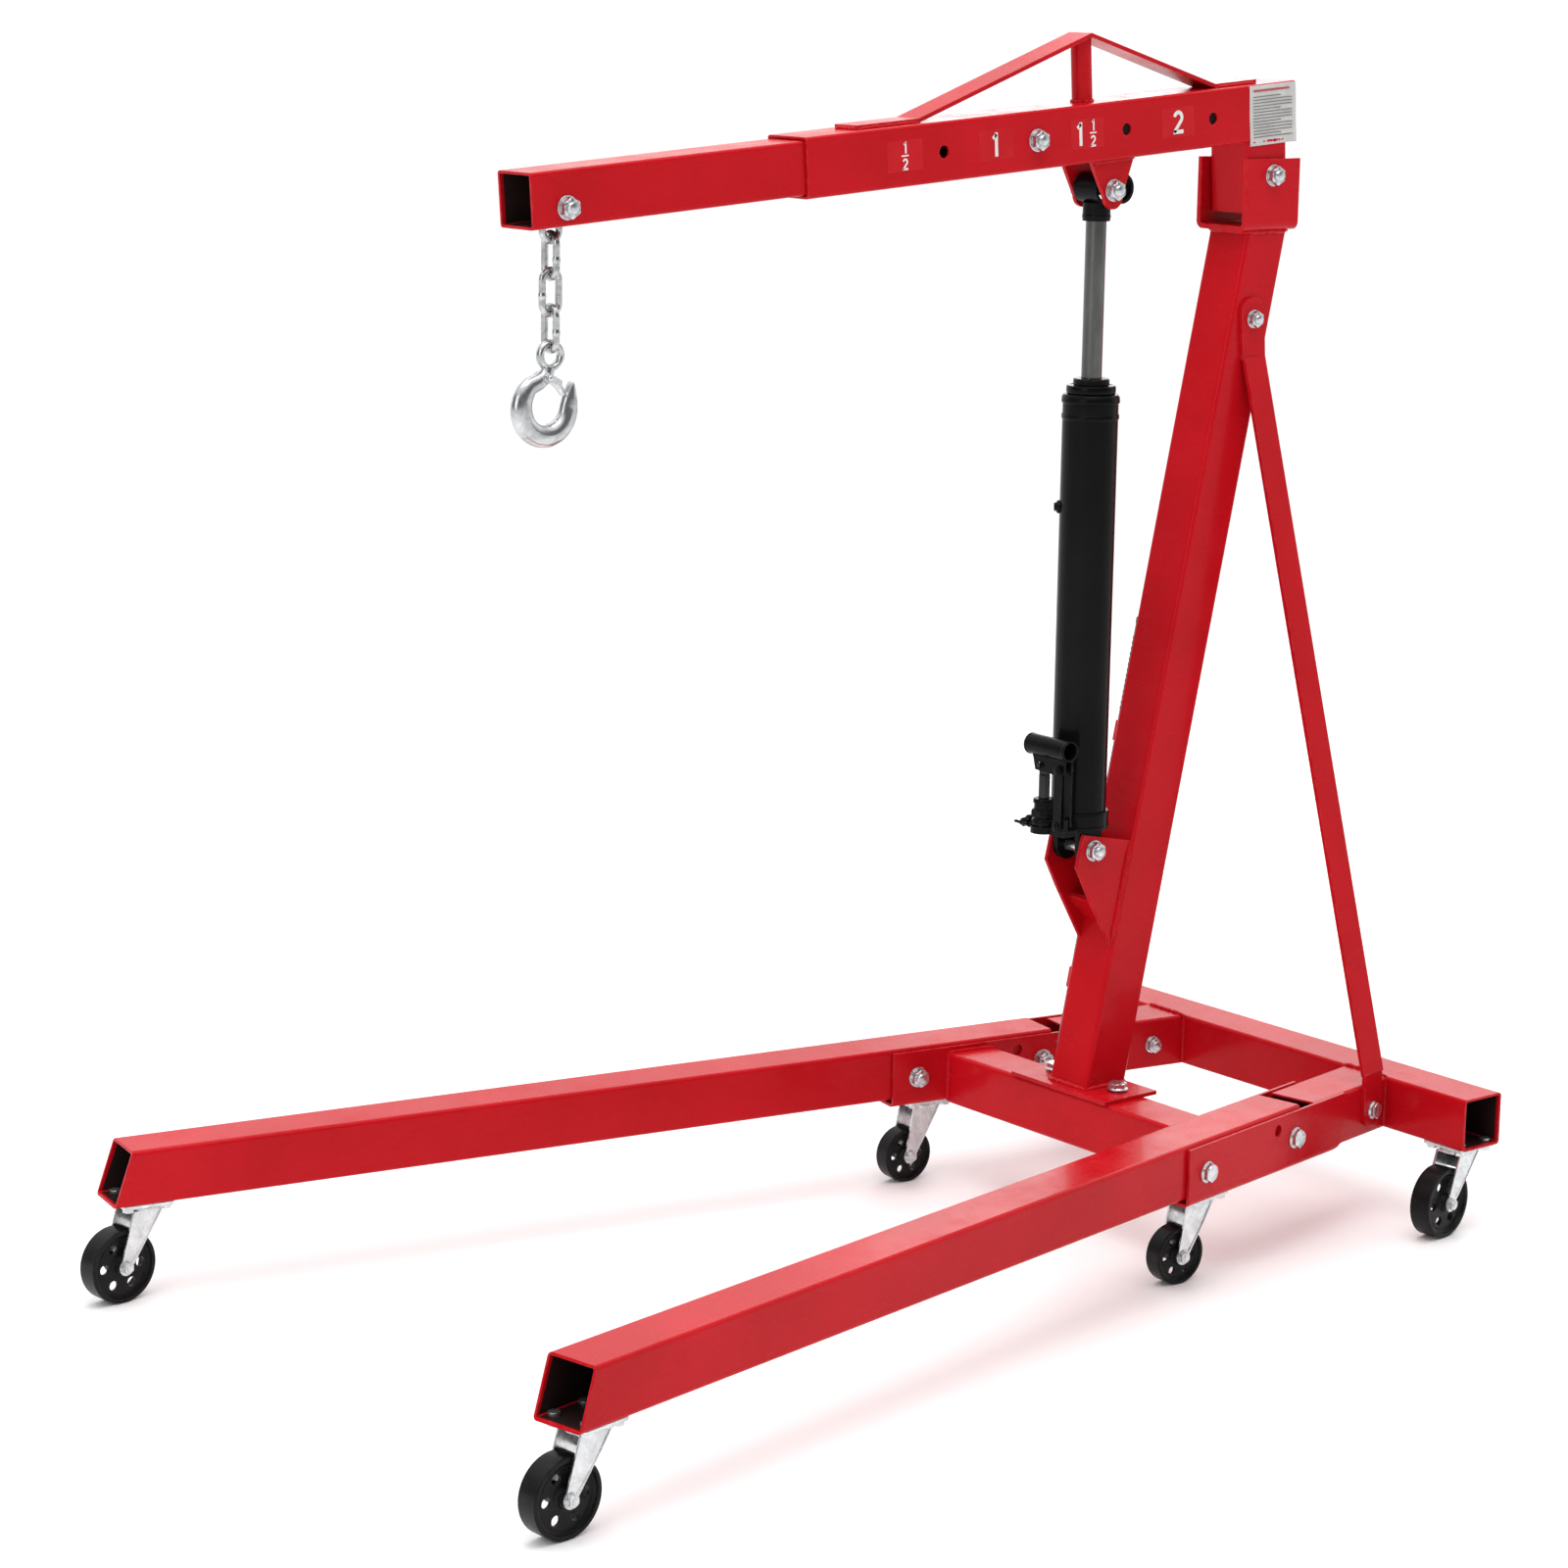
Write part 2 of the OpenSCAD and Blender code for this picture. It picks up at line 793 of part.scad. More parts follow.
module wheel_front_right() {
  color(black) at_front(-1, head_fr) wheel_solid(wheel_big, wheel_big_w, trail_front);
}

module wheel_mid_left() {
  color(black) at_mid(1, head_ml) wheel_solid(wheel_small, wheel_small_w, trail_mid);
}

module wheel_mid_right() {
  color(black) at_mid(-1, head_mr) wheel_solid(wheel_small, wheel_small_w, trail_mid);
}

module wheel_rear_left() {
  color(black) at_rear(1, head_rl) wheel_solid(wheel_big, wheel_big_w, trail_rear);
}

module wheel_rear_right() {
  color(black) at_rear(-1, head_rr) wheel_solid(wheel_big, wheel_big_w, trail_rear);
}

// ---------- boom ----------

module boom_tube() {
  color(red)
    at_boom()
      difference() {
        translate([-boom_rear, 0, lock_h])
          tube_x(boom_rear + boom_front, boom_size, boom_size, wall, 4);
        for (i=[0:lock_hole_n - 1])
          translate([lock_hole_first + i*lock_hole_pitch, 0, lock_h])
            rod_y(lock_bolt_r + bolt_gap, 2*boom_size);
      }
}

module boom_post() {
  color(red)
    at_boom()
      difference() {
        union() {
          translate([0, 0, -post_low])
            rotate([0, -90, 0]) tube_x(post_low + boom_rise, tube, tube, post_wall, tube_round);
          rod_y(15, tube - post_wall);
        }
        rod_y(pivot_r + run_gap, 2*tube);
      }
}

module boom_ram_bracket() {
  foot_r = 15;
  color(red)
    at_boom()
      for (s=[-1, 1])
        translate([0, s*(bracket_in + bracket_t/2), 0])
          difference() {
            plate_y(-bracket_t/2, bracket_t/2) {
              polygon([
                [ram_b - 35, boom_rise], [ram_b + 35, boom_rise],
                [ram_b + foot_r, ram_h - 8], [ram_b - foot_r, ram_h - 8]
              ]);
              translate([ram_b, ram_h - 8]) circle(foot_r);
            }
            translate([ram_b, 0, ram_h]) rod_y(ram_bolt_r + bolt_gap, 40);
          }
}

module ram_upper_bolt() {
  edge = bracket_in + bracket_t;
  color(zinc)
    at_boom() translate([ram_b, 0, ram_h]) bolt_y(ram_bolt_r, -edge, edge, ram_bolt_r);
}

strap_line = [
  [5, strap_flat_h], [76, strap_flat_h], [strap_top_b, strap_peak],
  [557, strap_flat_h], [651, strap_flat_h]
];

// Direction in degrees of one run of the strap
function strap_dir(i) =
  atan2(strap_line[i + 1][1] - strap_line[i][1], strap_line[i + 1][0] - strap_line[i][0]);

// Mitred corner of the strap on one face, off = +-half its thickness
function strap_corner(i, off) =
  let (
    before = strap_dir(max(i - 1, 0)),
    after = strap_dir(min(i, len(strap_line) - 2)),
    mid = (before + after)/2,
    reach = off/cos((after - before)/2)
  )
  strap_line[i] + reach*[-sin(mid), cos(mid)];

module strap_2d() {
  last = len(strap_line) - 1;
  polygon(concat(
    [for (i=[0:last]) strap_corner(i, -strap_t/2)],
    [for (i=[last:-1:0]) strap_corner(i, strap_t/2)]
  ));
}

module carry_strap() {
  color(red) at_boom() plate_y(-strap_w/2, strap_w/2) strap_2d();
}

module strap_post() {
  color(red)
    at_boom()
      difference() {
        translate([strap_top_b, 0, boom_rise + boom_size])
          cylinder(r=12.5, h=strap_peak - strap_t/2 - boom_rise - boom_size - 0.1);
        plate_y(-strap_w, strap_w) strap_2d();
      }
}

module extension_lock_bolt() {
  color(zinc)
    at_boom()
      translate([lock_bolt_at, 0, lock_h]) bolt_y(lock_bolt_r, -boom_size/2, boom_size/2, lock_bolt_r);
}

module boom_extension() {
  slot_r = lock_bolt_r + 1;
  color(red)
    at_boom()
      difference() {
        translate([ext_rear, 0, lock_h])
          tube_x(ext_front - ext_rear, ext_size, ext_size, wall, 4);
        plate_y(-ext_size, ext_size)
          link_2d([ext_rear - 20, lock_h], [lock_bolt_at + slot_travel, lock_h], slot_r);
        translate([hook_bolt_at, 0, hook_bolt_h]) rod_y(hook_bolt_r + bolt_gap, 2*ext_size);
        translate([hook_bolt_at - 31, -20, ext_low - 5]) cube([66, 40, 15]);
      }
}

module hook_bolt() {
  color(zinc)
    at_boom()
      translate([hook_bolt_at, 0, hook_bolt_h]) bolt_y(hook_bolt_r, -ext_size/2, ext_size/2, hook_head_r);
}

// ---------- chain and hook ----------

// One link in the XZ plane, its lower bend's wire centre at the origin
module link_solid() {
  straight = link_span - 2*bend_r;
  for (s=[-1, 1])
    translate([s*bend_r, 0, bend_r]) cylinder(r=wire_r, h=straight);
  translate([0, 0, bend_r])
    rotate([90, 0, 0]) rotate([0, 0, 180])
      rotate_extrude(angle=180) translate([bend_r, 0]) circle(wire_r);
  translate([0, 0, bend_r + straight])
    rotate([90, 0, 0])
      rotate_extrude(angle=180) translate([bend_r, 0]) circle(wire_r);
}

module chain_link_1() {
  color(steel) translate([chain_x, 0, link_1_low]) link_solid();
}

module chain_link_2() {
  color(steel) translate([chain_x, 0, link_2_low]) rotate([0, 0, 90]) link_solid();
}

module chain_link_3() {
  color(steel) translate([chain_x, 0, link_3_low]) link_solid();
}

module chain_link_4() {
  color(steel) translate([chain_x, 0, link_4_low]) rotate([0, 0, 90]) link_solid();
}

// Cylinder or cone between two points of the XZ plane
module taper_xz(a, b, r1, r2) {
  d = b - a;
  translate([a[0], 0, a[1]])
    rotate([0, atan2(d[0], d[1]), 0]) cylinder(r1=r1, r2=r2, h=norm(d));
}

module hook() {
  arc = 232;
  end_a = arc - 180;
  shoulder = [bowl_x + bowl_r*cos(end_a), bowl_z + bowl_r*sin(end_a)];
  neck = [chain_x + 4, eye_z - eye_in_r - 5];
  tip = [bowl_x - bowl_r, bowl_z + 18];
  color(zinc)
    difference() {
      union() {
        translate([bowl_x, 0, bowl_z])
          rotate([90, 0, 0]) rotate([0, 0, 180])
            rotate_extrude(angle=arc) translate([bowl_r, 0]) circle(bowl_wire);
        taper_xz([bowl_x - bowl_r, bowl_z], tip, bowl_wire, 7);
        translate([tip[0], 0, tip[1]]) sphere(7.6);
        translate([shoulder[0], 0, shoulder[1]]) sphere(bowl_wire + 0.5);
        taper_xz(shoulder, neck, bowl_wire, 8);
        translate([chain_x, 0, eye_z])
          rotate([90, 0, 0])
            rotate_extrude()
              translate([(eye_in_r + eye_out_r)/2, 0]) circle((eye_out_r - eye_in_r)/2);
      }
      translate([chain_x, 0, eye_z]) rod_y(eye_in_r - 0.3, 40);
      translate([latch_x, 0, latch_z]) rod_y(latch_pin_r + run_gap, 60);
    }
}

module hook_latch() {
  ear = 12;
  ear_t = 1.5;
  root = [latch_x - 13, latch_z - 5];
  tip = [bowl_x - 21.5, bowl_z + 13];
  d = tip - root;
  color(zinc) {
    translate([latch_x, 0, latch_z]) rod_y(latch_pin_r, 2*ear + 5);
    for (s=[-1, 1])
      translate([0, s*(ear + ear_t/2), 0])
        plate_y(-ear_t/2, ear_t/2) {
          translate([latch_x, latch_z]) circle(4.5);
          polygon([
            [latch_x, latch_z - 4], [latch_x, latch_z + 4],
            [root[0] - 3, root[1] + 3], [root[0] - 2, root[1] - 5]
          ]);
        }
    translate([root[0], 0, root[1]])
      rotate([0, -atan2(d[1], d[0]), 0])
        translate([0, -ear - 1, -1]) cube([norm(d), 2*ear + 2, 2]);
  }
}

// ---------- ram ----------

module ram_cylinder() {
  color(black)
    translate([-ram_back, 0, 0])
      difference() {
        union() {
          translate([0, 0, collar_high]) cylinder(r=cyl_r, h=cyl_high - collar_high - 6);
          translate([0, 0, cyl_high - 6]) cylinder(r1=cyl_r, r2=cyl_r - 5, h=6);
          translate([0, 0, 921]) rotate([0, 90, -39]) cylinder(r=6, h=cyl_r + 4);
        }
        translate([0, 0, collar_high + 15]) cylinder(r=cyl_bore_r, h=cyl_high);
      }
}

module ram_base() {
  color(black)
    difference() {
      union() {
        translate([-ram_back, 0, collar_low]) cylinder(r=collar_r, h=collar_high - collar_low);
        for (s=[-1, 1])
          translate([0, s*(ear_in + ear_out)/2, 0])
            plate_y(-(ear_out - ear_in)/2, (ear_out - ear_in)/2)
              link_2d([-ram_back, ram_low_z], [-ram_back, collar_low], 19);
        translate([-ram_back, -14, collar_low]) cube([pump_x + ram_back, 28, 16]);
        translate([pump_x, 0, collar_low]) cylinder(r=16, h=9);
        translate([pump_x, 0, collar_low]) cylinder(r=pump_barrel_r, h=38);
        translate([pump_x - 18, 0, collar_low]) cube([22, fulcrum_y + 8, 7.5]);
        translate([pump_x - 3.4, fulcrum_y - 7, collar_low]) cube([6.8, 14, 22]);
        translate([pump_x - 10, valve_y, valve_z]) rotate([0, 90, 0]) cylinder(r=8, h=12);
        translate([pump_x - 30, valve_y - 8, collar_low]) cube([24, 20, 16]);
      }
      translate([-ram_back, 0, ram_low_z]) rod_y(ram_bolt_r + run_gap, 80);
      translate([pump_x, 0, collar_low + 8]) cylinder(r=plunger_r + run_gap, h=60);
      translate([pump_x - 20, valve_y, valve_z]) rotate([0, 90, 0]) cylinder(r=3 + run_gap, h=30);
      translate([pump_x, fulcrum_y, link_foot_z])
        rotate([0, 90, 0]) cylinder(r=lever_pin_r + 0.15, h=40, center=true);
    }
}

module gland_nut() {
  color(black)
    translate([-ram_back, 0, 0])
      difference() {
        union() {
          translate([0, 0, cyl_high]) cylinder(r=gland_r, h=gland_high - cyl_high - 8);
          translate([0, 0, gland_high - 8]) cylinder(r=gland_r - 6, h=8);
          translate([0, 0, cyl_high - 22]) cylinder(r=cyl_bore_r - 0.1, h=22);
        }
        translate([0, 0, cyl_high - 30]) cylinder(r=rod_r + run_gap, h=80);
      }
}

module piston_rod() {
  color(steel)
    translate([-ram_back, 0, 0]) {
      translate([0, 0, rod_low]) cylinder(r=rod_r, h=rod_high - rod_low);
      translate([0, 0, rod_low]) cylinder(r=cyl_bore_r - 0.3, h=26);
    }
}

module rod_eye() {
  color(black)
    translate([-ram_back, 0, ram_high_z])
      difference() {
        union() {
          plate_y(-eye_half, eye_half) link_2d([eye_rear, eye_up], [eye_front, eye_up], eye_r);
          translate([0, 0, rod_high - ram_high_z]) cylinder(r=17, h=22);
        }
        plate_y(-40, 40) link_2d([eye_rear, eye_up], [eye_front, eye_up], eye_slot_r);
      }
}

module pump_link() {
  color(black)
    for (s=[-1, 1])
      translate([pump_x + s*(cheek_in + cheek_t + 1.75), 0, 0])
        rotate([90, 0, 90])
          linear_extrude(2.5, center=true)
            difference() {
              link_2d([fulcrum_y, fulcrum_z], [fulcrum_y, link_foot_z], 6);
              translate([fulcrum_y, fulcrum_z]) circle(lever_pin_r + run_gap);
              translate([fulcrum_y, link_foot_z]) circle(lever_pin_r + run_gap);
            }
  color(zinc)
    translate([pump_x, fulcrum_y, link_foot_z])
      rotate([0, 90, 0]) cylinder(r=lever_pin_r + run_gap, h=26, center=true);
}

module handle_socket() {
  color(black)
    difference() {
      union() {
        translate([pump_x, (socket_low_y + socket_high_y)/2, socket_z])
          rod_y(socket_r, socket_high_y - socket_low_y);
        for (s=[-1, 1])
          translate([pump_x + s*(cheek_in + cheek_t/2), 0, 0])
            rotate([90, 0, 90])
              linear_extrude(cheek_t, center=true)
                polygon([
                  [-16, socket_z - 8], [-10, 597], [fulcrum_y + 4, 595],
                  [fulcrum_y + 9, 602], [fulcrum_y + 9, socket_z - 8]
                ]);
        translate([pump_x, fulcrum_y, fulcrum_z])
          rotate([0, 90, 0]) cylinder(r=lever_pin_r, h=26, center=true);
      }
      translate([pump_x, socket_high_y - 30, socket_z])
        rotate([-90, 0, 0]) cylinder(r=socket_bore_r, h=60);
      translate([pump_x - 20, 0, 0])
        rotate([90, 0, 90])
          linear_extrude(40) link_2d([-2, plunger_pin_z], [0.3, plunger_pin_z], lever_pin_r + 1.2);
    }
}

module pump_plunger() {
  color(steel) {
    translate([pump_x, 0, collar_low + 22]) cylinder(r=plunger_r, h=51);
    translate([pump_x - 3.5, -6, 588]) cube([7, 12, 20]);
    translate([pump_x, 0, plunger_pin_z])
      rotate([0, 90, 0]) cylinder(r=lever_pin_r, h=22, center=true);
  }
}

module release_valve() {
  color(black)
    translate([pump_x - 8, valve_y, valve_z])
      rotate([0, 90, 0]) {
        cylinder(r=3, h=24);
        translate([0, 0, 12]) cylinder(r=6, h=8, $fn=6);
        translate([0, 0, 23]) rotate([90, 0, 0]) cylinder(r=2, h=22, center=true);
      }
}

module jack_handle() {
  color(black)
    at_mast()
      translate([-tube/2, handle_y, handle_start])
        difference() {
          cylinder(r=handle_r, h=handle_length);
          translate([0, 0, -1]) cylinder(r=handle_r - 2, h=handle_length + 2);
        }
}

rear_crossbar();
side_rails();
front_crossbar();
channel_left();
channel_right();
mast();
mast_base_plate();
mast_head_bracket();
ram_lower_bracket();
handle_clips();
brace_left();
brace_right();
base_plate_bolts();
leg_bolts();
brace_bolts();
boom_pivot_bolt();
ram_lower_bolt();
caster_plates();
caster_bolts();
leg_left();
leg_right();
leg_caster_plate_left();
leg_caster_plate_right();
fork_front_left();
fork_front_right();
fork_mid_left();
fork_mid_right();
fork_rear_left();
fork_rear_right();
wheel_front_left();
wheel_front_right();
wheel_mid_left();
wheel_mid_right();
wheel_rear_left();
wheel_rear_right();
boom_tube();
boom_post();
boom_ram_bracket();
carry_strap();
strap_post();
ram_upper_bolt();
extension_lock_bolt();
boom_extension();
hook_bolt();
chain_link_1();
chain_link_2();
chain_link_3();
chain_link_4();
hook();
hook_latch();
ram_cylinder();
ram_base();
gland_nut();
pump_link();
release_valve();
pump_plunger();
handle_socket();
piston_rod();
rod_eye();
jack_handle();
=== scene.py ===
import json
import math
import random

import bmesh
import bpy
from mathutils import Matrix, Vector


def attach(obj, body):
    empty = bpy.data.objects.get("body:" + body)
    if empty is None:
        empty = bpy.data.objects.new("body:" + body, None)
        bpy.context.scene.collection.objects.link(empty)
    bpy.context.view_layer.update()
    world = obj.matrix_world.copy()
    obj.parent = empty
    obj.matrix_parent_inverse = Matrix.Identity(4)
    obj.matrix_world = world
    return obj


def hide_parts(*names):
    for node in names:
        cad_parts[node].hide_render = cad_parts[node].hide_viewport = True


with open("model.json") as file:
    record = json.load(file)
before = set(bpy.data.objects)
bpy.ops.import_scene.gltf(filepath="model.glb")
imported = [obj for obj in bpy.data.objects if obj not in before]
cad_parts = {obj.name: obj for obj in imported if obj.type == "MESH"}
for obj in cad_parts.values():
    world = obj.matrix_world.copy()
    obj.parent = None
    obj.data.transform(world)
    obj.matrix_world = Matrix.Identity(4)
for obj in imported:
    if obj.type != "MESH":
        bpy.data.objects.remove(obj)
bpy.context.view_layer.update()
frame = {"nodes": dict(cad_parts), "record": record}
MM = 0.001
rng = random.Random(7)

# Positions taken from the CAD source, in millimetres and degrees
SPLAY = 10.5
BOOM_TILT = 4.11
MAST_LEAN = 12.2
BOOM_PIVOT = (-635, 0, 1322.5)
MAST_FOOT = (-371.4, 0, 181)
LEG_PIVOT = (-508, 225, 0)
RAM_X = -376
RAM_FOOT_Z = 492
RAM_HEAD_Z = 1310
PUMP_X = -317
REAR_TUBE_X = -758
LOCK_H = 78
LOCK_HOLES = (95, 241, 387, 533)
HALF_TUBE = 34
BOLT_R = 7
SMALL_BOLT_R = 6
CHAIN_X = 438.076
EYE_Z = 1150.866


# ---------------------------------------------------------------- frames

def shift(x, y, z):
    return Matrix.Translation(Vector((x, y, z)) * MM)


def turn(degrees, axis):
    return Matrix.Rotation(math.radians(degrees), 4, axis)


BOOM = shift(*BOOM_PIVOT) @ turn(BOOM_TILT, "Y")
MAST = shift(*MAST_FOOT) @ turn(-MAST_LEAN, "Y")
MIRROR = Matrix.Scale(-1, 4, Vector((0, 1, 0)))
LEFT = shift(*LEG_PIVOT) @ turn(SPLAY, "Z")
RIGHT = MIRROR @ LEFT
WORLD = Matrix.Identity(4)


def side(s):
    return LEFT if s > 0 else RIGHT


# ---------------------------------------------------------------- materials

class Nodes:
    """Short calls for building one material's nodes."""

    def __init__(self, name):
        self.mat = bpy.data.materials.new(name)
        self.mat.use_nodes = True
        self.tree = self.mat.node_tree
        self.shader = self.tree.nodes["Principled BSDF"]
        self.coords = self.tree.nodes.new("ShaderNodeTexCoord").outputs["Object"]

    def add(self, kind, **values):
        node = self.tree.nodes.new(kind)
        for key, value in values.items():
            setattr(node, key, value)
        return node

    def link(self, a, b):
        self.tree.links.new(a, b)

    def noise(self, scale, detail=4.0, rough=0.55, stretch=None, distortion=0.0):
        node = self.add("ShaderNodeTexNoise")
        node.inputs["Scale"].default_value = scale
        node.inputs["Detail"].default_value = detail
        node.inputs["Roughness"].default_value = rough
        node.inputs["Distortion"].default_value = distortion
        source = self.coords
        if stretch:
            mapping = self.add("ShaderNodeMapping")
            mapping.inputs["Scale"].default_value = stretch
            self.link(source, mapping.inputs["Vector"])
            source = mapping.outputs["Vector"]
        self.link(source, node.inputs["Vector"])
        return node.outputs["Fac"]

    def ramp(self, source, low, high, a=0.0, b=1.0):
        node = self.add("ShaderNodeMapRange")
        node.inputs["From Min"].default_value = low
        node.inputs["From Max"].default_value = high
        node.inputs["To Min"].default_value = a
        node.inputs["To Max"].default_value = b
        self.link(source, node.inputs["Value"])
        return node.outputs["Result"]

    def math(self, op, a, b):
        node = self.add("ShaderNodeMath", operation=op)
        for socket, value in zip(node.inputs, (a, b)):
            if isinstance(value, (int, float)):
                socket.default_value = value
            else:
                self.link(value, socket)
        return node.outputs["Value"]

    def mix(self, factor, a, b):
        node = self.add("ShaderNodeMix", data_type="RGBA")
        self.link(factor, node.inputs["Factor"])
        for key, value in (("A", a), ("B", b)):
            socket = [s for s in node.inputs if s.name == key and s.type == "RGBA"][0]
            if isinstance(value, tuple):
                socket.default_value = (*value, 1)
            else:
                self.link(value, socket)
        return [s for s in node.outputs if s.type == "RGBA"][0]

    def bevel(self, radius):
        node = self.add("ShaderNodeBevel", samples=6)
        node.inputs["Radius"].default_value = radius
        return node.outputs["Normal"]

    def edges(self, radius, sharpness):
        """0 on flat surfaces, towards 1 on outer and inner edges."""
        geometry = self.add("ShaderNodeNewGeometry")
        dot = self.add("ShaderNodeVectorMath", operation="DOT_PRODUCT")
        self.link(self.bevel(radius), dot.inputs[0])
        self.link(geometry.outputs["Normal"], dot.inputs[1])
        return self.ramp(dot.outputs["Value"], 1.0, sharpness)

    def up(self):
        geometry = self.add("ShaderNodeNewGeometry")
        split = self.add("ShaderNodeSeparateXYZ")
        self.link(geometry.outputs["Normal"], split.inputs["Vector"])
        return split.outputs["Z"]

    def bump(self, height, strength, distance, normal=None):
        node = self.add("ShaderNodeBump")
        node.inputs["Strength"].default_value = strength
        node.inputs["Distance"].default_value = distance
        self.link(height, node.inputs["Height"])
        if normal is not None:
            self.link(normal, node.inputs["Normal"])
        return node.outputs["Normal"]

    def done(self, color, rough, normal, metallic=0.0, coat=0.0, coat_rough=0.05, spec=0.5):
        self.link(color, self.shader.inputs["Base Color"])
        self.link(rough, self.shader.inputs["Roughness"])
        self.link(normal, self.shader.inputs["Normal"])
        self.shader.inputs["Metallic"].default_value = metallic
        self.shader.inputs["Coat Weight"].default_value = coat
        self.shader.inputs["Coat Roughness"].default_value = coat_rough
        self.shader.inputs["Specular IOR Level"].default_value = spec
        return self.mat


def paint(name, base, deep, pale, rough, coat, spec=0.08, radius=0.0014, peel=0.10):
    """Sprayed enamel: slow colour drift, orange peel, a paler thin film on edges that is also a
    painted highlight, a little dust.
    """
    n = Nodes(name)
    drift = n.ramp(n.noise(5.0, 3), 0.35, 0.65)
    color = n.mix(drift, base, deep)
    # paler paint on outer and inner edges: thin film there, and also a painted highlight
    edge = n.math("MULTIPLY", n.edges(0.0025, 0.86), n.ramp(n.noise(70, 5), 0.42, 0.62))
    color = n.mix(n.math("MULTIPLY", edge, 0.30), color, pale)
    dust = n.math("MULTIPLY", n.ramp(n.noise(38, 6, 0.7), 0.5, 0.75), n.ramp(n.up(), 0.4, 1.0))
    color = n.mix(n.math("MULTIPLY", dust, 0.05), color, pale)
    smear = n.ramp(n.noise(16, 5, 0.6, (1, 1, 2.5)), 0.3, 0.7, rough - 0.05, rough + 0.08)
    rough_out = n.math("ADD", smear, n.math("MULTIPLY", dust, 0.12))
    peel_out = n.bump(n.noise(240, 2), peel * 0.6, 0.0005, n.bevel(radius))
    runs = n.bump(n.noise(9, 2, 0.4, (1, 1, 0.5)), 0.05, 0.0012, peel_out)
    return n.done(color, rough_out, runs, coat=coat, coat_rough=0.07, spec=spec)


def plated(name, base, shade, rough, radius=0.0008, spots=60):
    """Zinc plating: cloudy passivation, fine drawing lines and dull scratches."""
    n = Nodes(name)
    cloud = n.ramp(n.noise(spots, 5, 0.6, distortion=0.6), 0.3, 0.7)
    color = n.mix(cloud, base, shade)
    grime = n.math("MULTIPLY", n.edges(0.0018, 0.85), n.ramp(n.noise(190, 4), 0.4, 0.65))
    color = n.mix(n.math("MULTIPLY", grime, 0.35), color, (0.28, 0.27, 0.25))
    streak = n.noise(120, 3, 0.5, (9, 1, 1))
    rough_out = n.ramp(n.math("ADD", cloud, streak), 0.4, 1.5, rough - 0.07, rough + 0.12)
    normal = n.bump(n.noise(520, 3), 0.10, 0.0003, n.bevel(radius))
    return n.done(color, rough_out, normal, metallic=0.92)


def chromed(name, base=(0.155, 0.155, 0.152), shade=(0.085, 0.085, 0.083)):
    """Ground and chromed rod: fine rings round its axis, faint oil film."""
    n = Nodes(name)
    rings = n.noise(30, 2, 0.5, (0.2, 0.2, 90))
    film = n.ramp(n.noise(24, 4, 0.6, (1, 1, 0.3)), 0.35, 0.7)
    color = n.mix(film, base, shade)
    rough_out = n.ramp(n.math("ADD", rings, film), 0.5, 1.6, 0.16, 0.34)
    normal = n.bump(rings, 0.10, 0.0001, n.bevel(0.0006))
    return n.done(color, rough_out, normal, metallic=1.0)


def cast(name):
    """Black enamelled wheel with a fine sandy texture and a scuffed tread."""
    n = Nodes(name)
    grain = n.noise(300, 5, 0.65)
    scuff = n.math("MULTIPLY", n.edges(0.003, 0.8), n.ramp(n.noise(90, 5), 0.45, 0.6))
    color = n.mix(n.ramp(n.noise(30, 4), 0.35, 0.65), (0.004, 0.004, 0.0045), (0.009, 0.009, 0.009))
    color = n.mix(n.math("MULTIPLY", scuff, 0.5), color, (0.055, 0.053, 0.05))
    rough_out = n.ramp(grain, 0.3, 0.7, 0.24, 0.42)
    normal = n.bump(grain, 0.16, 0.0005, n.bevel(0.0012))
    return n.done(color, rough_out, normal, coat=0.03, coat_rough=0.15, spec=0.12)


def printed(name, base, shade, coat=0.15, spec=0.4):
    """Vinyl film: slight yellowing, tiny dents and a soft sheen."""
    n = Nodes(name)
    color = n.mix(n.ramp(n.noise(45, 4), 0.35, 0.7), base, shade)
    rough_out = n.ramp(n.noise(120, 3), 0.3, 0.7, 0.32, 0.48)
    normal = n.bump(n.noise(60, 3), 0.18, 0.0008, n.bevel(0.0002))
    return n.done(color, rough_out, normal, coat=coat, coat_rough=0.2, spec=spec)


# the third colour is the paler tint of the thin film and painted highlight on edges, and of the
# dust
RED = paint("red_enamel", (0.53, 0.0050, 0.012), (0.45, 0.0035, 0.008), (0.75, 0.12, 0.13),
            rough=0.24, coat=0.07)
BLACK = paint("black_enamel", (0.0035, 0.0035, 0.004), (0.007, 0.007, 0.0075), (0.05, 0.05, 0.05),
              rough=0.22, coat=0.02, spec=0.06, radius=0.001)
ZINC = plated("zinc_plate", (0.74, 0.76, 0.77), (0.50, 0.52, 0.53), rough=0.24)
BOLT = plated("bolt_zinc", (0.70, 0.72, 0.74), (0.46, 0.48, 0.50),
              rough=0.20, radius=0.0005, spots=150)
CHAIN = plated("chain_zinc", (0.60, 0.61, 0.61), (0.30, 0.31, 0.31),
               rough=0.13, radius=0.0006, spots=110)
FORGED = plated("forged_zinc", (0.60, 0.61, 0.62), (0.36, 0.37, 0.38),
                rough=0.16, radius=0.0012, spots=70)
ROD = chromed("ground_rod")
GREASED = chromed("greased_plunger", (0.05, 0.05, 0.048), (0.02, 0.02, 0.019))
WHEEL = cast("pressed_wheel")
# near-black: painted shade inside the open tubes, darker than their unpainted steel
TUBE_SHADE = paint("painted_shade_tube_inside", (0.010, 0.006, 0.006), (0.022, 0.010, 0.010), (0.05, 0.04, 0.04),
             rough=0.55, coat=0.0)
VINYL = printed("white_vinyl", (0.80, 0.80, 0.79), (0.70, 0.70, 0.68))
SHEET = printed("paper_vinyl", (0.60, 0.60, 0.59), (0.50, 0.50, 0.49), coat=0.05, spec=0.2)
INK = printed("grey_ink", (0.16, 0.15, 0.15), (0.22, 0.21, 0.21))
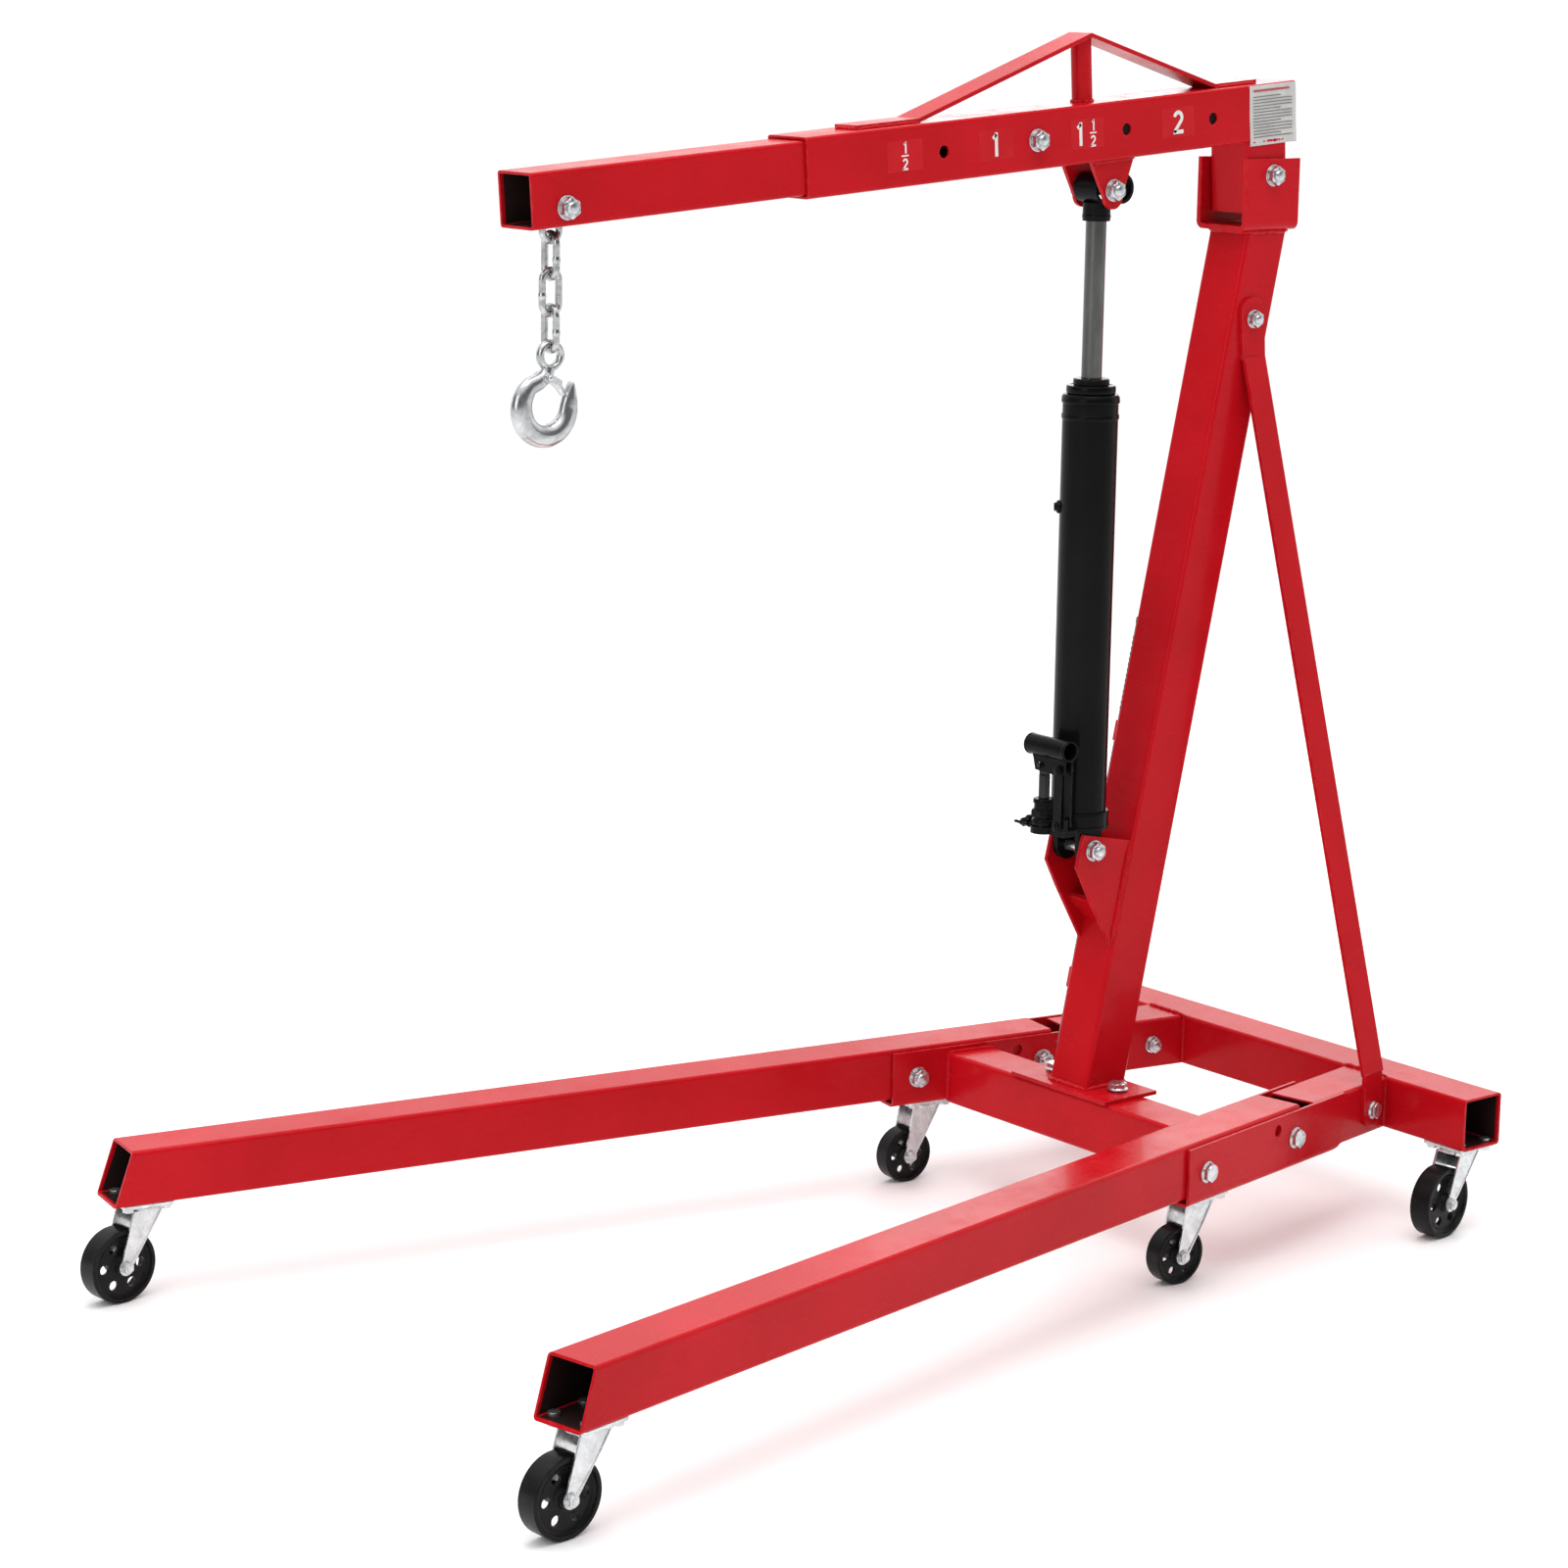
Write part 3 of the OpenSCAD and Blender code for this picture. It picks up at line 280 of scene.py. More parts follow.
RED_INK = printed("red_ink", (0.42, 0.05, 0.06), (0.48, 0.08, 0.08))
PATCH = printed("clear_film", (0.54, 0.0065, 0.014), (0.48, 0.0045, 0.010), coat=0.0, spec=0.16)

SLOT_MATERIAL = {
    "red_paint": RED, "black_paint": BLACK, "zinc": ZINC, "chain": CHAIN, "rod": ROD,
    "wheel": WHEEL,
}
NODE_MATERIAL = {
    "hook": FORGED, "caster_bolts": BOLT, "release_valve": BLACK, "pump_plunger": GREASED,
}
for part in frame["record"]["subparts"]:
    obj = frame["nodes"][part["node"]]
    material = NODE_MATERIAL.get(part["node"], SLOT_MATERIAL[part["material_slot"]])
    if not obj.material_slots:
        obj.data.materials.append(material)
    for holder in obj.material_slots:
        holder.material = material


# ---------------------------------------------------------------- mesh code

class Shape:
    """Collects vertices and faces in millimetres, then makes one piece."""

    def __init__(self):
        self.verts = []
        self.faces = []

    def grid(self, rings, matrix=WORLD, close_ring=True, cap=False):
        """Joins rings of equally many points with quads."""
        start = len(self.verts)
        count = len(rings[0])
        for ring in rings:
            for p in ring:
                self.verts.append(matrix @ (Vector(p) * MM))
        last = count if close_ring else count - 1
        for i in range(len(rings) - 1):
            for j in range(last):
                a = start + i * count + j
                b = start + i * count + (j + 1) % count
                self.faces.append((a, b, b + count, a + count))
        if cap:
            self.faces.append(tuple(start + j for j in reversed(range(count))))
            top = start + (len(rings) - 1) * count
            self.faces.append(tuple(top + j for j in range(count)))

    def piece(self, name, material, body, angle=38, slot=None, swap=()):
        mesh = bpy.data.meshes.new(name)
        mesh.from_pydata([tuple(v) for v in self.verts], [], self.faces)
        mesh.validate()
        mesh.update()
        obj = bpy.data.objects.new(name, mesh)
        bpy.context.scene.collection.objects.link(obj)
        fix_normals(mesh)
        mesh.shade_smooth()
        mesh.set_sharp_from_angle(angle=math.radians(angle))
        mesh.materials.append(material)
        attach(obj, body)
        if swap:
            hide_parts(*swap)
        return obj


def fix_normals(mesh):
    """Turns every face outward."""
    work = bmesh.new()
    work.from_mesh(mesh)
    bmesh.ops.recalc_face_normals(work, faces=work.faces)
    work.to_mesh(mesh)
    work.free()


def circle(r, along, count=40):
    """Ring of points round the Y axis at y=along."""
    step = 2 * math.pi / count
    return [(r * math.cos(i * step), along, r * math.sin(i * step)) for i in range(count)]


def hex_ring(flat, limit, along, count=48):
    """Hexagon round the Y axis with half-width flat, cut by a circle of radius limit."""
    ring = []
    for i in range(count):
        a = 2 * math.pi * i / count
        off = (a + math.pi / 6) % (math.pi / 3) - math.pi / 6
        r = min(flat / math.cos(off), limit)
        ring.append((r * math.cos(a), along, r * math.sin(a)))
    return ring


def lathe(shape, profile, matrix, count=40, cap=True):
    """Turns (radius, along) points round the Y axis."""
    shape.grid([circle(max(r, 0.01), y, count) for r, y in profile], matrix, True, cap)


def bands(shape, matrix, count, *profiles):
    """Turns open profiles round the Y axis, one ring-shaped skin for each."""
    for profile in profiles:
        lathe(shape, profile, matrix, count, cap=False)


def hex_solid(shape, flat, low, high, matrix, both=False):
    """Hexagon with the domed corners of a real bolt head, on one end or both."""
    corner = flat / math.cos(math.pi / 6)
    cut = 0.10 * flat
    rings = [hex_ring(flat, corner, low)]
    if both:
        rings = [hex_ring(flat, flat * 0.97, low),
                 hex_ring(flat, corner * 0.985, low + cut * 0.7),
                 hex_ring(flat, corner, low + cut * 1.6)]
    rings += [hex_ring(flat, corner, high - cut * 1.6),
              hex_ring(flat, corner * 0.985, high - cut * 0.7),
              hex_ring(flat, flat * 0.97, high),
              hex_ring(flat * 0.5, flat * 0.5, high)]
    shape.grid(rings, matrix, True, True)


def bolt(shape, r, low, high, matrix):
    """Hex bolt with flange, washers, nut and threaded end along Y, head at the low side."""
    head = 1.25 * r
    flip = turn(180, "X")
    lathe(shape, [(r, low - 0.5), (r, high + 0.5)], matrix)
    washer = [(1.1 * r, 0), (1.86 * r, 0), (1.92 * r, 0.3),
              (1.92 * r, 1.2), (1.86 * r, 1.5), (1.1 * r, 1.5)]
    lathe(shape, [(a, high + b) for a, b in washer], matrix)
    lathe(shape, [(a, low - b) for a, b in washer], matrix)
    place = matrix @ shift(0, low - 1.4, 0) @ flip
    hex_solid(shape, 1.52 * r, 0.2, head - 1.5, place)
    lathe(shape, [(1.2 * r, -0.1), (1.78 * r, 0), (1.78 * r, 0.5), (1.6 * r, 1.5)], place)
    lathe(shape, [(0.9 * r, head - 1.52), (0.88 * r, head - 1.9), (0.02, head - 1.9)], place)
    hex_solid(shape, 1.52 * r, high + 1.5, high + 1.5 * r, matrix, True)
    pitch = 0.22 * r
    turns = int((2.1 * r - 1.5 * r + 1) / pitch) + 1
    base = high + 1.5 * r - 1
    profile = []
    for i in range(turns):
        profile += [(0.86 * r, base + i * pitch), (0.96 * r, base + (i + 0.5) * pitch)]
    end = high + 2.1 * r
    profile += [(0.86 * r, end - 0.06 * r), (0.72 * r, end), (0.02, end)]
    lathe(shape, profile, matrix, 32)


def tube_path(shape, points, radius, matrix, count=10, closed=False):
    """Round bar along points; radius is a number or one (in, out) pair of radii for each point."""
    pts = [Vector(p) for p in points]
    rings = []
    up = None
    total = len(pts)
    for i, p in enumerate(pts):
        ahead = pts[(i + 1) % total] if closed else pts[min(i + 1, total - 1)]
        back = pts[i - 1] if closed or i else pts[0]
        run = (ahead - back).normalized()
        if up is None:
            up = run.cross(Vector((0, 1, 0)))
            if up.length < 0.1:
                up = run.cross(Vector((1, 0, 0)))
        up = (up - run * up.dot(run)).normalized()
        out = run.cross(up)
        a, b = radius[i] if isinstance(radius, list) else (radius, radius)
        step = 2 * math.pi / count
        rings.append([p + up * (a * math.cos(k * step)) + out * (b * math.sin(k * step))
                      for k in range(count)])
    if closed:
        rings.append(rings[0])
    shape.grid(rings, matrix, True, not closed)


def weld(shape, points, size, matrix):
    """Hand-laid bead: overlapping ripples of uneven width along straight runs."""
    for a, b in zip(points, points[1:]):
        a, b = Vector(a), Vector(b)
        run = b - a
        count = max(int(run.length / (size * 0.34)), 4)
        path, radii = [], []
        for i in range(count + 1):
            t = i / count
            beat = abs(math.sin(i * 1.35))
            drift = rng.uniform(-0.10, 0.10)
            taper = min(1, 6 * t + 0.35, 6 * (1 - t) + 0.35)
            wobble = Vector([rng.uniform(-1, 1) for axis in range(3)]) * size * 0.05
            path.append(a + run * t + wobble)
            r = size * (0.50 + 0.14 * beat + drift) * taper
            radii.append((r, r))
        tube_path(shape, path, radii, matrix, 9)


# ---------------------------------------------------------------- bolts

def bolts(name, body, items, swap):
    shape = Shape()
    for matrix, r, low, high in items:
        bolt(shape, r, low, high, matrix)
    shape.piece(name, BOLT, body, 32, "zinc", swap)


ram_dx, ram_dz = RAM_X - BOOM_PIVOT[0], RAM_HEAD_Z - BOOM_PIVOT[2]
tilt = math.radians(BOOM_TILT)
ram_b = ram_dx * math.cos(tilt) - ram_dz * math.sin(tilt)
ram_h = ram_dx * math.sin(tilt) + ram_dz * math.cos(tilt)

bolts("boom_pivot_hardware", "base", [
    (shift(*BOOM_PIVOT), BOLT_R, -43, 43)
], ["boom_pivot_bolt"])
bolts("ram_foot_hardware", "base", [
    (shift(RAM_X, 0, RAM_FOOT_Z), BOLT_R, -30.5, 30.5)
], ["ram_lower_bolt"])
bolts("leg_hardware", "base", [
    (side(s) @ shift(u, 0, z) @ MIRROR, BOLT_R, -39, 39)
    for s in (1, -1) for u, z in ((0, 151), (191, 150))
], ["leg_bolts"])
bolts("brace_hardware", "base", [(shift(-614, 0, 1145), SMALL_BOLT_R, -39, 39)] + [
    (side(s) @ shift(-177, 0, 149) @ MIRROR, SMALL_BOLT_R, -40, 35) for s in (1, -1)
], ["brace_bolts"])
bolts("ram_head_hardware", "boom", [
    (BOOM @ shift(ram_b, 0, ram_h), BOLT_R, -28.5, 28.5)
], ["ram_upper_bolt"])
bolts("boom_lock_hardware", "boom", [
    (BOOM @ shift(LOCK_HOLES[2], 0, LOCK_H), BOLT_R, -35, 35)
], ["extension_lock_bolt"])
bolts("hook_bolt_hardware", "extension", [
    (BOOM @ shift(1071, 0, 67.4), BOLT_R, -31, 31)
], ["hook_bolt"])
bolts("foot_plate_hardware", "base", [
    (shift(-405, s * 57, 0) @ turn(-90, "X"), BOLT_R, -184, -109) for s in (1, -1)
], ["base_plate_bolts"])


# ---------------------------------------------------------------- weld beads

def weld_piece(name, body, runs):
    shape = Shape()
    for points, size, matrix in runs:
        weld(shape, points, size, matrix)
    shape.piece(name, RED, body, 70, "red_paint")


def around(front, back, half, z):
    """Corners of a level rectangle, ending on the first one."""
    return [(front, -half, z), (front, half, z), (back, half, z), (back, -half, z),
            (front, -half, z)]


def pair(a, b, size, matrix):
    """The same straight run on the +Y side and on the -Y side."""
    return [([(a[0], s * a[1], a[2]), (b[0], s * b[1], b[2])], size, matrix) for s in (1, -1)]


weld_piece("mast_welds", "base", [
    (around(-371, -441, HALF_TUBE, 182.5), 7, WORLD),
    (around(-603, -673, HALF_TUBE, 1253), 6.5, WORLD),
] + pair((0.5, 31, 190), (0.5, 31, 322), 6, MAST))

BOOM_UNDER = 42.5
BOOM_OVER = 113.5
post_run = [(x, y, BOOM_UNDER) for x, y in ((-33, -33), (33, -33), (33, 33), (-33, 33), (-33, -33))]
strut_run = [(281 + 12.5 * math.cos(a / 4 * math.pi), 12.5 * math.sin(a / 4 * math.pi), BOOM_OVER)
             for a in range(9)]
weld_piece("boom_welds", "boom", [
    (post_run, 4.2, BOOM)
] + pair((ram_b - 35, 29, BOOM_UNDER), (ram_b + 35, 29, BOOM_UNDER), 5.5, BOOM)
  + pair((556, 20, BOOM_OVER), (650, 20, BOOM_OVER), 5, BOOM) + [
    ([(651, -18, 114), (651, 18, 114)], 5, BOOM)
] + pair((6, 20, BOOM_OVER), (76, 20, BOOM_OVER), 5, BOOM) + [
    (strut_run, 4.5, BOOM)
])

frame_runs = (pair((-358, 214, 177), (-426, 200, 177), 6, WORLD)
              + pair((-358, 213, 112), (-358, 213, 176), 6, WORLD))
for s in (1, -1):
    frame_runs += [
        ([(-726, s * 219, 184), (-723, s * 146, 184)], 6, WORLD),
        ([(-723.5, s * 220, 118), (-723.5, s * 220, 183)], 6, WORLD),
        ([(-723.5, s * 148, 118), (-723.5, s * 148, 183)], 6, WORLD),
    ] + pair((-111, 35, 118), (-111, 35, 182), 5.5, side(s))
weld_piece("frame_welds", "base", frame_runs)


# ---------------------------------------------------------------- painted shade inside the open tubes, whose insides are unpainted

def shade_liner(name, body, half, starts, ends, matrix):
    """Near-black skin inside a square tube, painted shade for its dark inside; its ends may slope
    from bottom to top.
    """
    shape = Shape()
    rings = []
    for low, high in (starts, ends):
        ring = []
        for y, z in ((-half, -half), (half, -half), (half, half), (-half, half)):
            at = low + (high - low) * (z + half) / (2 * half)
            ring.append((at, y, z))
        rings.append(ring)
    shape.grid(rings, matrix, True)
    shape.piece(name, TUBE_SHADE, body, 30, "red_paint")


LEG_BORE, BOOM_BORE, EXTENSION_BORE = 30.9, 31.9, 27.9
shade_liner("rear_tube_inside", "base", LEG_BORE, (-350, -350), (350, 350),
      shift(REAR_TUBE_X, 0, 150) @ turn(90, "Z"))
for s, hand in ((1, "left"), (-1, "right")):
    shade_liner("leg_inside_" + hand, "leg_" + hand, LEG_BORE, (230, 230), (1279, 1256),
          side(s) @ shift(0, 0, 155))
shade_liner("extension_inside", "extension", EXTENSION_BORE, (560, 560), (1112, 1112),
      BOOM @ shift(0, 0, LOCK_H))
shade_liner("boom_inside", "boom", BOOM_BORE, (-44, -44), (330, 330), BOOM @ shift(0, 0, LOCK_H))


# ---------------------------------------------------------------- hook and chain

BOWL = Vector((CHAIN_X + 7, 0, EYE_Z - 57))
LATCH_PIN = Vector((CHAIN_X + 9, 0, EYE_Z - 24))
EYE_RING_R = 13.75


def hook_piece():
    """Forged hook: eye ring, neck, bowl thickest at the bottom, and a point that thins out."""
    shape = Shape()
    path, radii = [], []
    neck = [((2, -13), 7.5, 7), ((4, -19), 8, 7.2), ((9, -24.5), 9, 7.6), ((16.5, -29), 10, 8)]
    for (x, z), a, b in neck:
        path.append((CHAIN_X + x, 0, EYE_Z + z))
        radii.append((a, b))
    for i in range(29):
        t = i / 28
        a = math.radians(50 - 230 * t)
        bulge = math.sin(math.pi * t ** 0.9) ** 0.8
        r = 31.4 + 0.8 * t
        path.append((BOWL.x + r * math.cos(a), 0, BOWL.z + r * math.sin(a)))
        radii.append((10.6 + 3.0 * bulge + 0.3 * t, 8.4 + 2.6 * bulge - 0.4 * t))
    for z, x, a in ((5, 32.9, 10.0), (10, 33.4, 8.8), (15, 34.0, 7.2),
                    (20, 34.6, 5.4), (24, 35.0, 3.8), (26.4, 35.2, 1.4)):
        path.append((BOWL.x - x, 0, BOWL.z + z))
        radii.append((a, 4.2 + 0.4 * a))
    tube_path(shape, path, radii, WORLD, 28)
    ring = []
    for i in range(40):
        a = 2 * math.pi * i / 40
        ring.append((CHAIN_X + EYE_RING_R * math.cos(a), 0, EYE_Z + EYE_RING_R * math.sin(a)))
    tube_path(shape, ring, [(4.25, 5.4)] * len(ring), WORLD, 18, closed=True)
    for s in (1, -1):
        lathe(shape, [(5.6, s * 6.5), (5.6, s * 10.6), (4.9, s * 11.4), (2.3, s * 11.4)],
              shift(*LATCH_PIN), 24)
    shape.piece("forged_hook", FORGED, "hook", 60, "zinc", ["hook"])


def latch_piece():
    """Folded latch: two ears on the pin and a blade that narrows to the hook's point."""
    shape = Shape()
    pin = LATCH_PIN
    root = Vector((pin.x - 13, 0, pin.z - 5))
    tip = Vector((BOWL.x - 25, 0, BOWL.z + 12.5))
    run = tip - root
    out = Vector((-run.z, 0, run.x)).normalized()
    rings = []
    for i in range(15):
        t = i / 14
        half = 13.4 - 8.2 * t ** 0.8
        crown = 1.6 * math.sin(math.pi * t)
        ring = []
        for v, lift in ((-1, -1.6), (-0.9, 0), (-0.4, 0.8), (0, 1.1), (0.4, 0.8), (0.9, 0),
                        (1, -1.6)):
            ring.append(root + run * t - out * (lift + crown) + Vector((0, v * half, 0)))
        for v, lift in ((0.86, -1.6), (0.8, -1.2), (0, -0.3), (-0.8, -1.2), (-0.86, -1.6)):
            ring.append(root + run * t - out * (lift + crown - 0.4) + Vector((0, v * half, 0)))
        rings.append(ring)
    shape.grid(rings, WORLD, True, True)
    for s in (1, -1):
        outline = []
        for i in range(13):
            a = math.radians(-75 + 175 * i / 12)
            outline.append((pin.x + 4.6 * math.cos(a), pin.z + 4.6 * math.sin(a)))
        outline += [(root.x + 2, root.z + 4.5), (root.x - 3, root.z + 1.5),
                    (root.x - 2, root.z - 4.5)]
        shape.grid([[(x, s * y, z) for x, z in outline] for y in (12.0, 13.5)], WORLD, True, True)
        lathe(shape, [(2.0, s * 10), (2.0, s * 14.4)], shift(*pin), 20)
    shape.piece("latch_blade", BOLT, "latch", 45, "zinc", ["hook_latch"])


hook_piece()
latch_piece()

spring = Shape()
COIL_R = 3.4
coil = []
for i in range(73):
    a = 2 * math.pi * i / 12
    coil.append((LATCH_PIN.x + COIL_R * math.cos(a), 11.7 + i * 0.045,
                 LATCH_PIN.z + COIL_R * math.sin(a)))
tube_path(spring, coil, 0.45, WORLD, 8)
for s in (1, -1):
    lathe(spring, [(3.4, s * 14.2), (3.4, s * 15.2), (2.6, s * 16), (0.02, s * 16.2)],
          shift(*LATCH_PIN), 20)
spring.piece("latch_spring", BOLT, "latch", 50, "zinc")

LINK_LOW = (1275.166, 1235.466, 1195.766, 1156.066)
for k, low in enumerate(LINK_LOW):
    bead = Shape()
    crossed = turn(90, "Z") if k % 2 else WORLD
    path = [(11, 0, 24 + i * 0.8) for i in range(-5, 6)]
    swell = [4.1 + 0.55 * math.cos(i * math.pi / 10) ** 2 for i in range(-5, 6)]
    tube_path(bead, path, [(r, r) for r in swell], shift(CHAIN_X, 0, low - 4) @ crossed, 20)
    bead.piece("link_weld_%d" % (k + 1), CHAIN, "link_%d" % (k + 1), 60, "chain")


# ---------------------------------------------------------------- casters

HEADINGS = {"front_left": 4, "front_right": 5.5, "mid_left": -3, "mid_right": -4,
            "rear_left": 8, "rear_right": -14}


def caster_spot(key):
    """X, Y, top of the caster, wheel diameter, wheel width and trail."""
    where, hand = key.split("_")
    s = 1 if hand == "left" else -1
    c, d = math.cos(math.radians(SPLAY)), math.sin(math.radians(SPLAY))
    if where == "front":
        return LEG_PIVOT[0] + 1241 * c, s * (LEG_PIVOT[1] + 1241 * d), 121, 90, 28, 34
    if where == "mid":
        return LEG_PIVOT[0] + 164 * c, s * (LEG_PIVOT[1] + 164 * d), 112, 72, 24, 26
    return REAR_TUBE_X, s * 318, 116, 90, 28, 38


def fork_detail(key, place, hub, top, dia, width, trail):
    """Ball race, axle washers and nuts, and pressed ribs of one fork."""
    detail = Shape()
    race = top - 9.4
    bands(detail, place @ turn(90, "X"), 56, [
        (22.5, race - 0.6), (23.4, race + 0.2), (23.4, race + 1.6), (21.4, race + 3.6),
        (20.4, race + 3.6)])
    face = width / 2 + 2 + 2.5
    for s in (1, -1):
        lathe(detail, [(7.2, s * face), (8.4, s * (face + 0.3)), (8.4, s * (face + 1.3)),
                       (4, s * (face + 1.4))], hub, 32)
        spot = hub if s > 0 else hub @ turn(180, "X")
        hex_solid(detail, 6.2, face + 1.4, face + 5.4, spot, True)
        lathe(detail, [(3.9, face + 5.2), (3.9, face + 6.4), (3.3, face + 7), (0.02, face + 7)],
              spot, 24)
    for s in (1, -1):
        rib = s * (face + 0.2)
        tube_path(detail, [(-17, rib, race - 2), (trail * 0.45 - 12, rib, (race + dia / 2) / 2),
                           (trail - 6.5, rib, dia / 2 + 4)], 0.9, place, 10)
    detail.piece("fork_detail_" + key, ZINC, "fork_" + key, 36, "zinc")


def wheel_rim(key, hub, dia, width):
    """Rolled lips, hub ends and the fillets where the web meets them."""
    rim = Shape()
    r = dia / 2
    lip = r - dia / 18
    core = dia / 8
    for s in (1, -1):
        edge = s * width / 2
        bands(rim, hub, 64, [
            (r - 0.5, edge * 0.86), (r - 0.2, edge * 0.93), (r - 0.9, edge * 0.995),
            (r - 2.6, edge * 1.012), (lip - 0.1, edge * 0.99), (lip - 0.5, edge * 0.90)])
        bands(rim, hub, 48, [
            (core + 0.1, edge * 0.80), (core + 0.5, edge * 0.95), (core - 1.0, edge * 1.008),
            (5, edge * 1.008)])
    web = width / 4
    for low, high in ((web + 2, web + 5.5), (web - 2, web - 5.5)):
        bend = (low * 3 + high) / 4
        bands(rim, hub, 64, [(lip + 0.2, high), (lip - 1.2, bend), (lip - 4.0, low)])
        bands(rim, hub, 48, [(core - 0.2, high), (core + 1.2, bend), (core + 4.0, low)])
    bands(rim, hub, 64, [(lip - 5.2, web + 2.02), (lip - 6.0, web + 2.5), (lip - 6.8, web + 2.02)])
    rim.piece("wheel_rim_" + key, WHEEL, "wheel_" + key, 40, "wheel")


for key, heading in HEADINGS.items():
    x, y, top, dia, width, trail = caster_spot(key)
    place = shift(x, y, 0) @ turn(heading, "Z")
    hub = place @ shift(trail, 0, dia / 2)
    fork_detail(key, place, hub, top, dia, width, trail)
    wheel_rim(key, hub, dia, width)


# ---------------------------------------------------------------- ram details

across = turn(90, "Z")
upright = turn(90, "X")

ram = Shape()
ram_axis = shift(RAM_X, 0, 0) @ upright
bands(ram, ram_axis, 64,
      [(34.6, 1030), (35.6, 1031.5), (35.6, 1036), (34.6, 1037.5)],
      [(34.55, 1050), (35.8, 1051), (36.2, 1053), (35.6, 1058), (33.5, 1061), (27, 1062)],
      [(27, 1062), (30, 1062.4), (30.6, 1064), (30.6, 1070), (29.6, 1072), (25, 1072.6)])
bands(ram, ram_axis, 56, [(21.4, 1072), (22.4, 1073), (22.4, 1079), (21, 1080.4), (13.4, 1080.6)])
bands(ram, ram_axis, 64,
      [(38.1, 519), (38.5, 520), (38.5, 523), (38.1, 524)],
      [(34.6, 540), (37.4, 540.4), (38.4, 538.6), (38.1, 536)])
plug = shift(RAM_X, 0, 921) @ turn(-39, "Z") @ turn(-90, "Z")
bands(ram, plug, 32, [(8.4, 33), (8.4, 36.4), (7.6, 37.6), (6, 38.6)])
hex_solid(ram, 4.6, 38, 41.5, plug)
ram.piece("ram_fittings", BLACK, "ram", 40, "black_paint")

pump = Shape()
PIN_R = 5.4
for z in (603, 532):
    for s in (1, -1):
        lathe(pump, [(PIN_R, s * 10.2), (PIN_R, s * 12.0), (PIN_R * 0.75, s * 13.2),
                     (0.02, s * 13.4)], shift(PUMP_X, 34, z) @ across, 24)
barrel = shift(PUMP_X, 0, 0) @ upright
bands(pump, barrel, 40,
      [(12, 555.5), (13.4, 556), (13.4, 560), (12.4, 561.4), (7.2, 561.6)],
      [(12.1, 528), (14.6, 528.4), (15.2, 530), (15.2, 534), (14.2, 535.4), (12.1, 535.8)])
pump.grid([hex_ring(flat, limit, z) for flat, limit, z in (
    (12.2, 12.2, 538), (13.6, 13.8, 538), (13.6, 15.2, 539.2), (13.6, 15.7, 540.2),
    (13.6, 15.7, 545.8), (13.6, 15.2, 546.8), (13.6, 13.8, 548), (12.2, 12.2, 548))], barrel)
for x, y in ((-306, -10), (-306, 10), (-329, -13)):
    lathe(pump, [(3.1, 526.5), (3.1, 529), (2.3, 530), (0.02, 530)], shift(x, y, 0) @ upright, 20)
pump.piece("pump_fittings", BLACK, "ram", 40, "black_paint")

socket = Shape()
bands(socket, shift(PUMP_X, 0, 627), 48,
      [(10.7, 45.4), (11.4, 46.2), (12.8, 46.2), (13.5, 45.2), (13.5, 42.6), (13.0, 41.8)],
      [(13.05, -22), (13.5, -23), (13.5, -25.2), (12.6, -26), (0.02, -26)])
for s in (1, -1):
    bands(socket, shift(PUMP_X, -0.8, 604) @ across, 24,
          [(4.9, s * 7.1), (4.9, s * 7.9), (4.2, s * 8.2)])
    fold_x = PUMP_X + s * 6.2
    tube_path(socket, [(fold_x, -15, 614.5), (fold_x, 42, 614.5)], 1.3, WORLD, 10)
socket.piece("socket_folds", BLACK, "lever", 40, "black_paint")

eye = Shape()
bands(eye, ram_axis, 48, [(17.1, 1275), (17.6, 1276), (17.6, 1279), (17.1, 1280)])
eye.piece("eye_collar", BLACK, "rod", 40, "black_paint")

grip = Shape()
stored = MAST @ shift(-HALF_TUBE, -52, 0) @ upright
for low, high in ((592, 600.5), (39.5, 46)):
    bands(grip, stored, 40, [(8.3, low), (10.3, low), (10.9, low + 1), (10.9, high - 1),
                             (10.3, high), (8.3, high)])
for i in range(14):
    z = 480 + i * 7
    bands(grip, stored, 36, [(10.25, z), (10.8, z + 1.2), (10.8, z + 3.8), (10.25, z + 5)])
grip.piece("handle_grip", BLACK, "handle", 40, "black_paint")


# ---------------------------------------------------------------- labels

def strip(shape, points, width, y, matrix):
    """Flat stroke of constant width in the XZ plane at y, with square ends."""
    left, right = [], []
    pts = [Vector((p[0], p[1])) for p in points]
    for i, p in enumerate(pts):
        run = (pts[min(i + 1, len(pts) - 1)] - pts[max(i - 1, 0)]).normalized()
        out = Vector((-run.y, run.x)) * (width / 2)
        left.append((p.x + out.x, y, p.y + out.y))
        right.append((p.x - out.x, y, p.y - out.y))
    shape.grid([left, right], matrix, False)


def numeral(shape, kind, x, z, height, y, toward):
    """Plain stencil numeral on the boom; toward is -1 where it reads against the X axis."""
    k = height / 10

    def put(points, width=1.7):
        strip(shape, [(x + toward * a * k, z + b * k) for a, b in points], width * k, y, BOOM)

    if kind == "1":
        put([(0, 0), (0, 10)])
        put([(0.2, 9.2), (-1.9, 7.6)], 1.5)
    if kind == "2":
        arc = []
        for i in range(13):
            a = math.radians(170 - i * 17.5)
            arc.append((2.2 * math.cos(a), 7.0 + 2.2 * math.sin(a)))
        put(arc + [(-2.1, 1.2), (-2.4, 0.6)])
        put([(-3.0, 0.8), (3.0, 0.8)])
    if kind == "bar":
        put([(-3.6, 5), (3.6, 5)], 1.1)


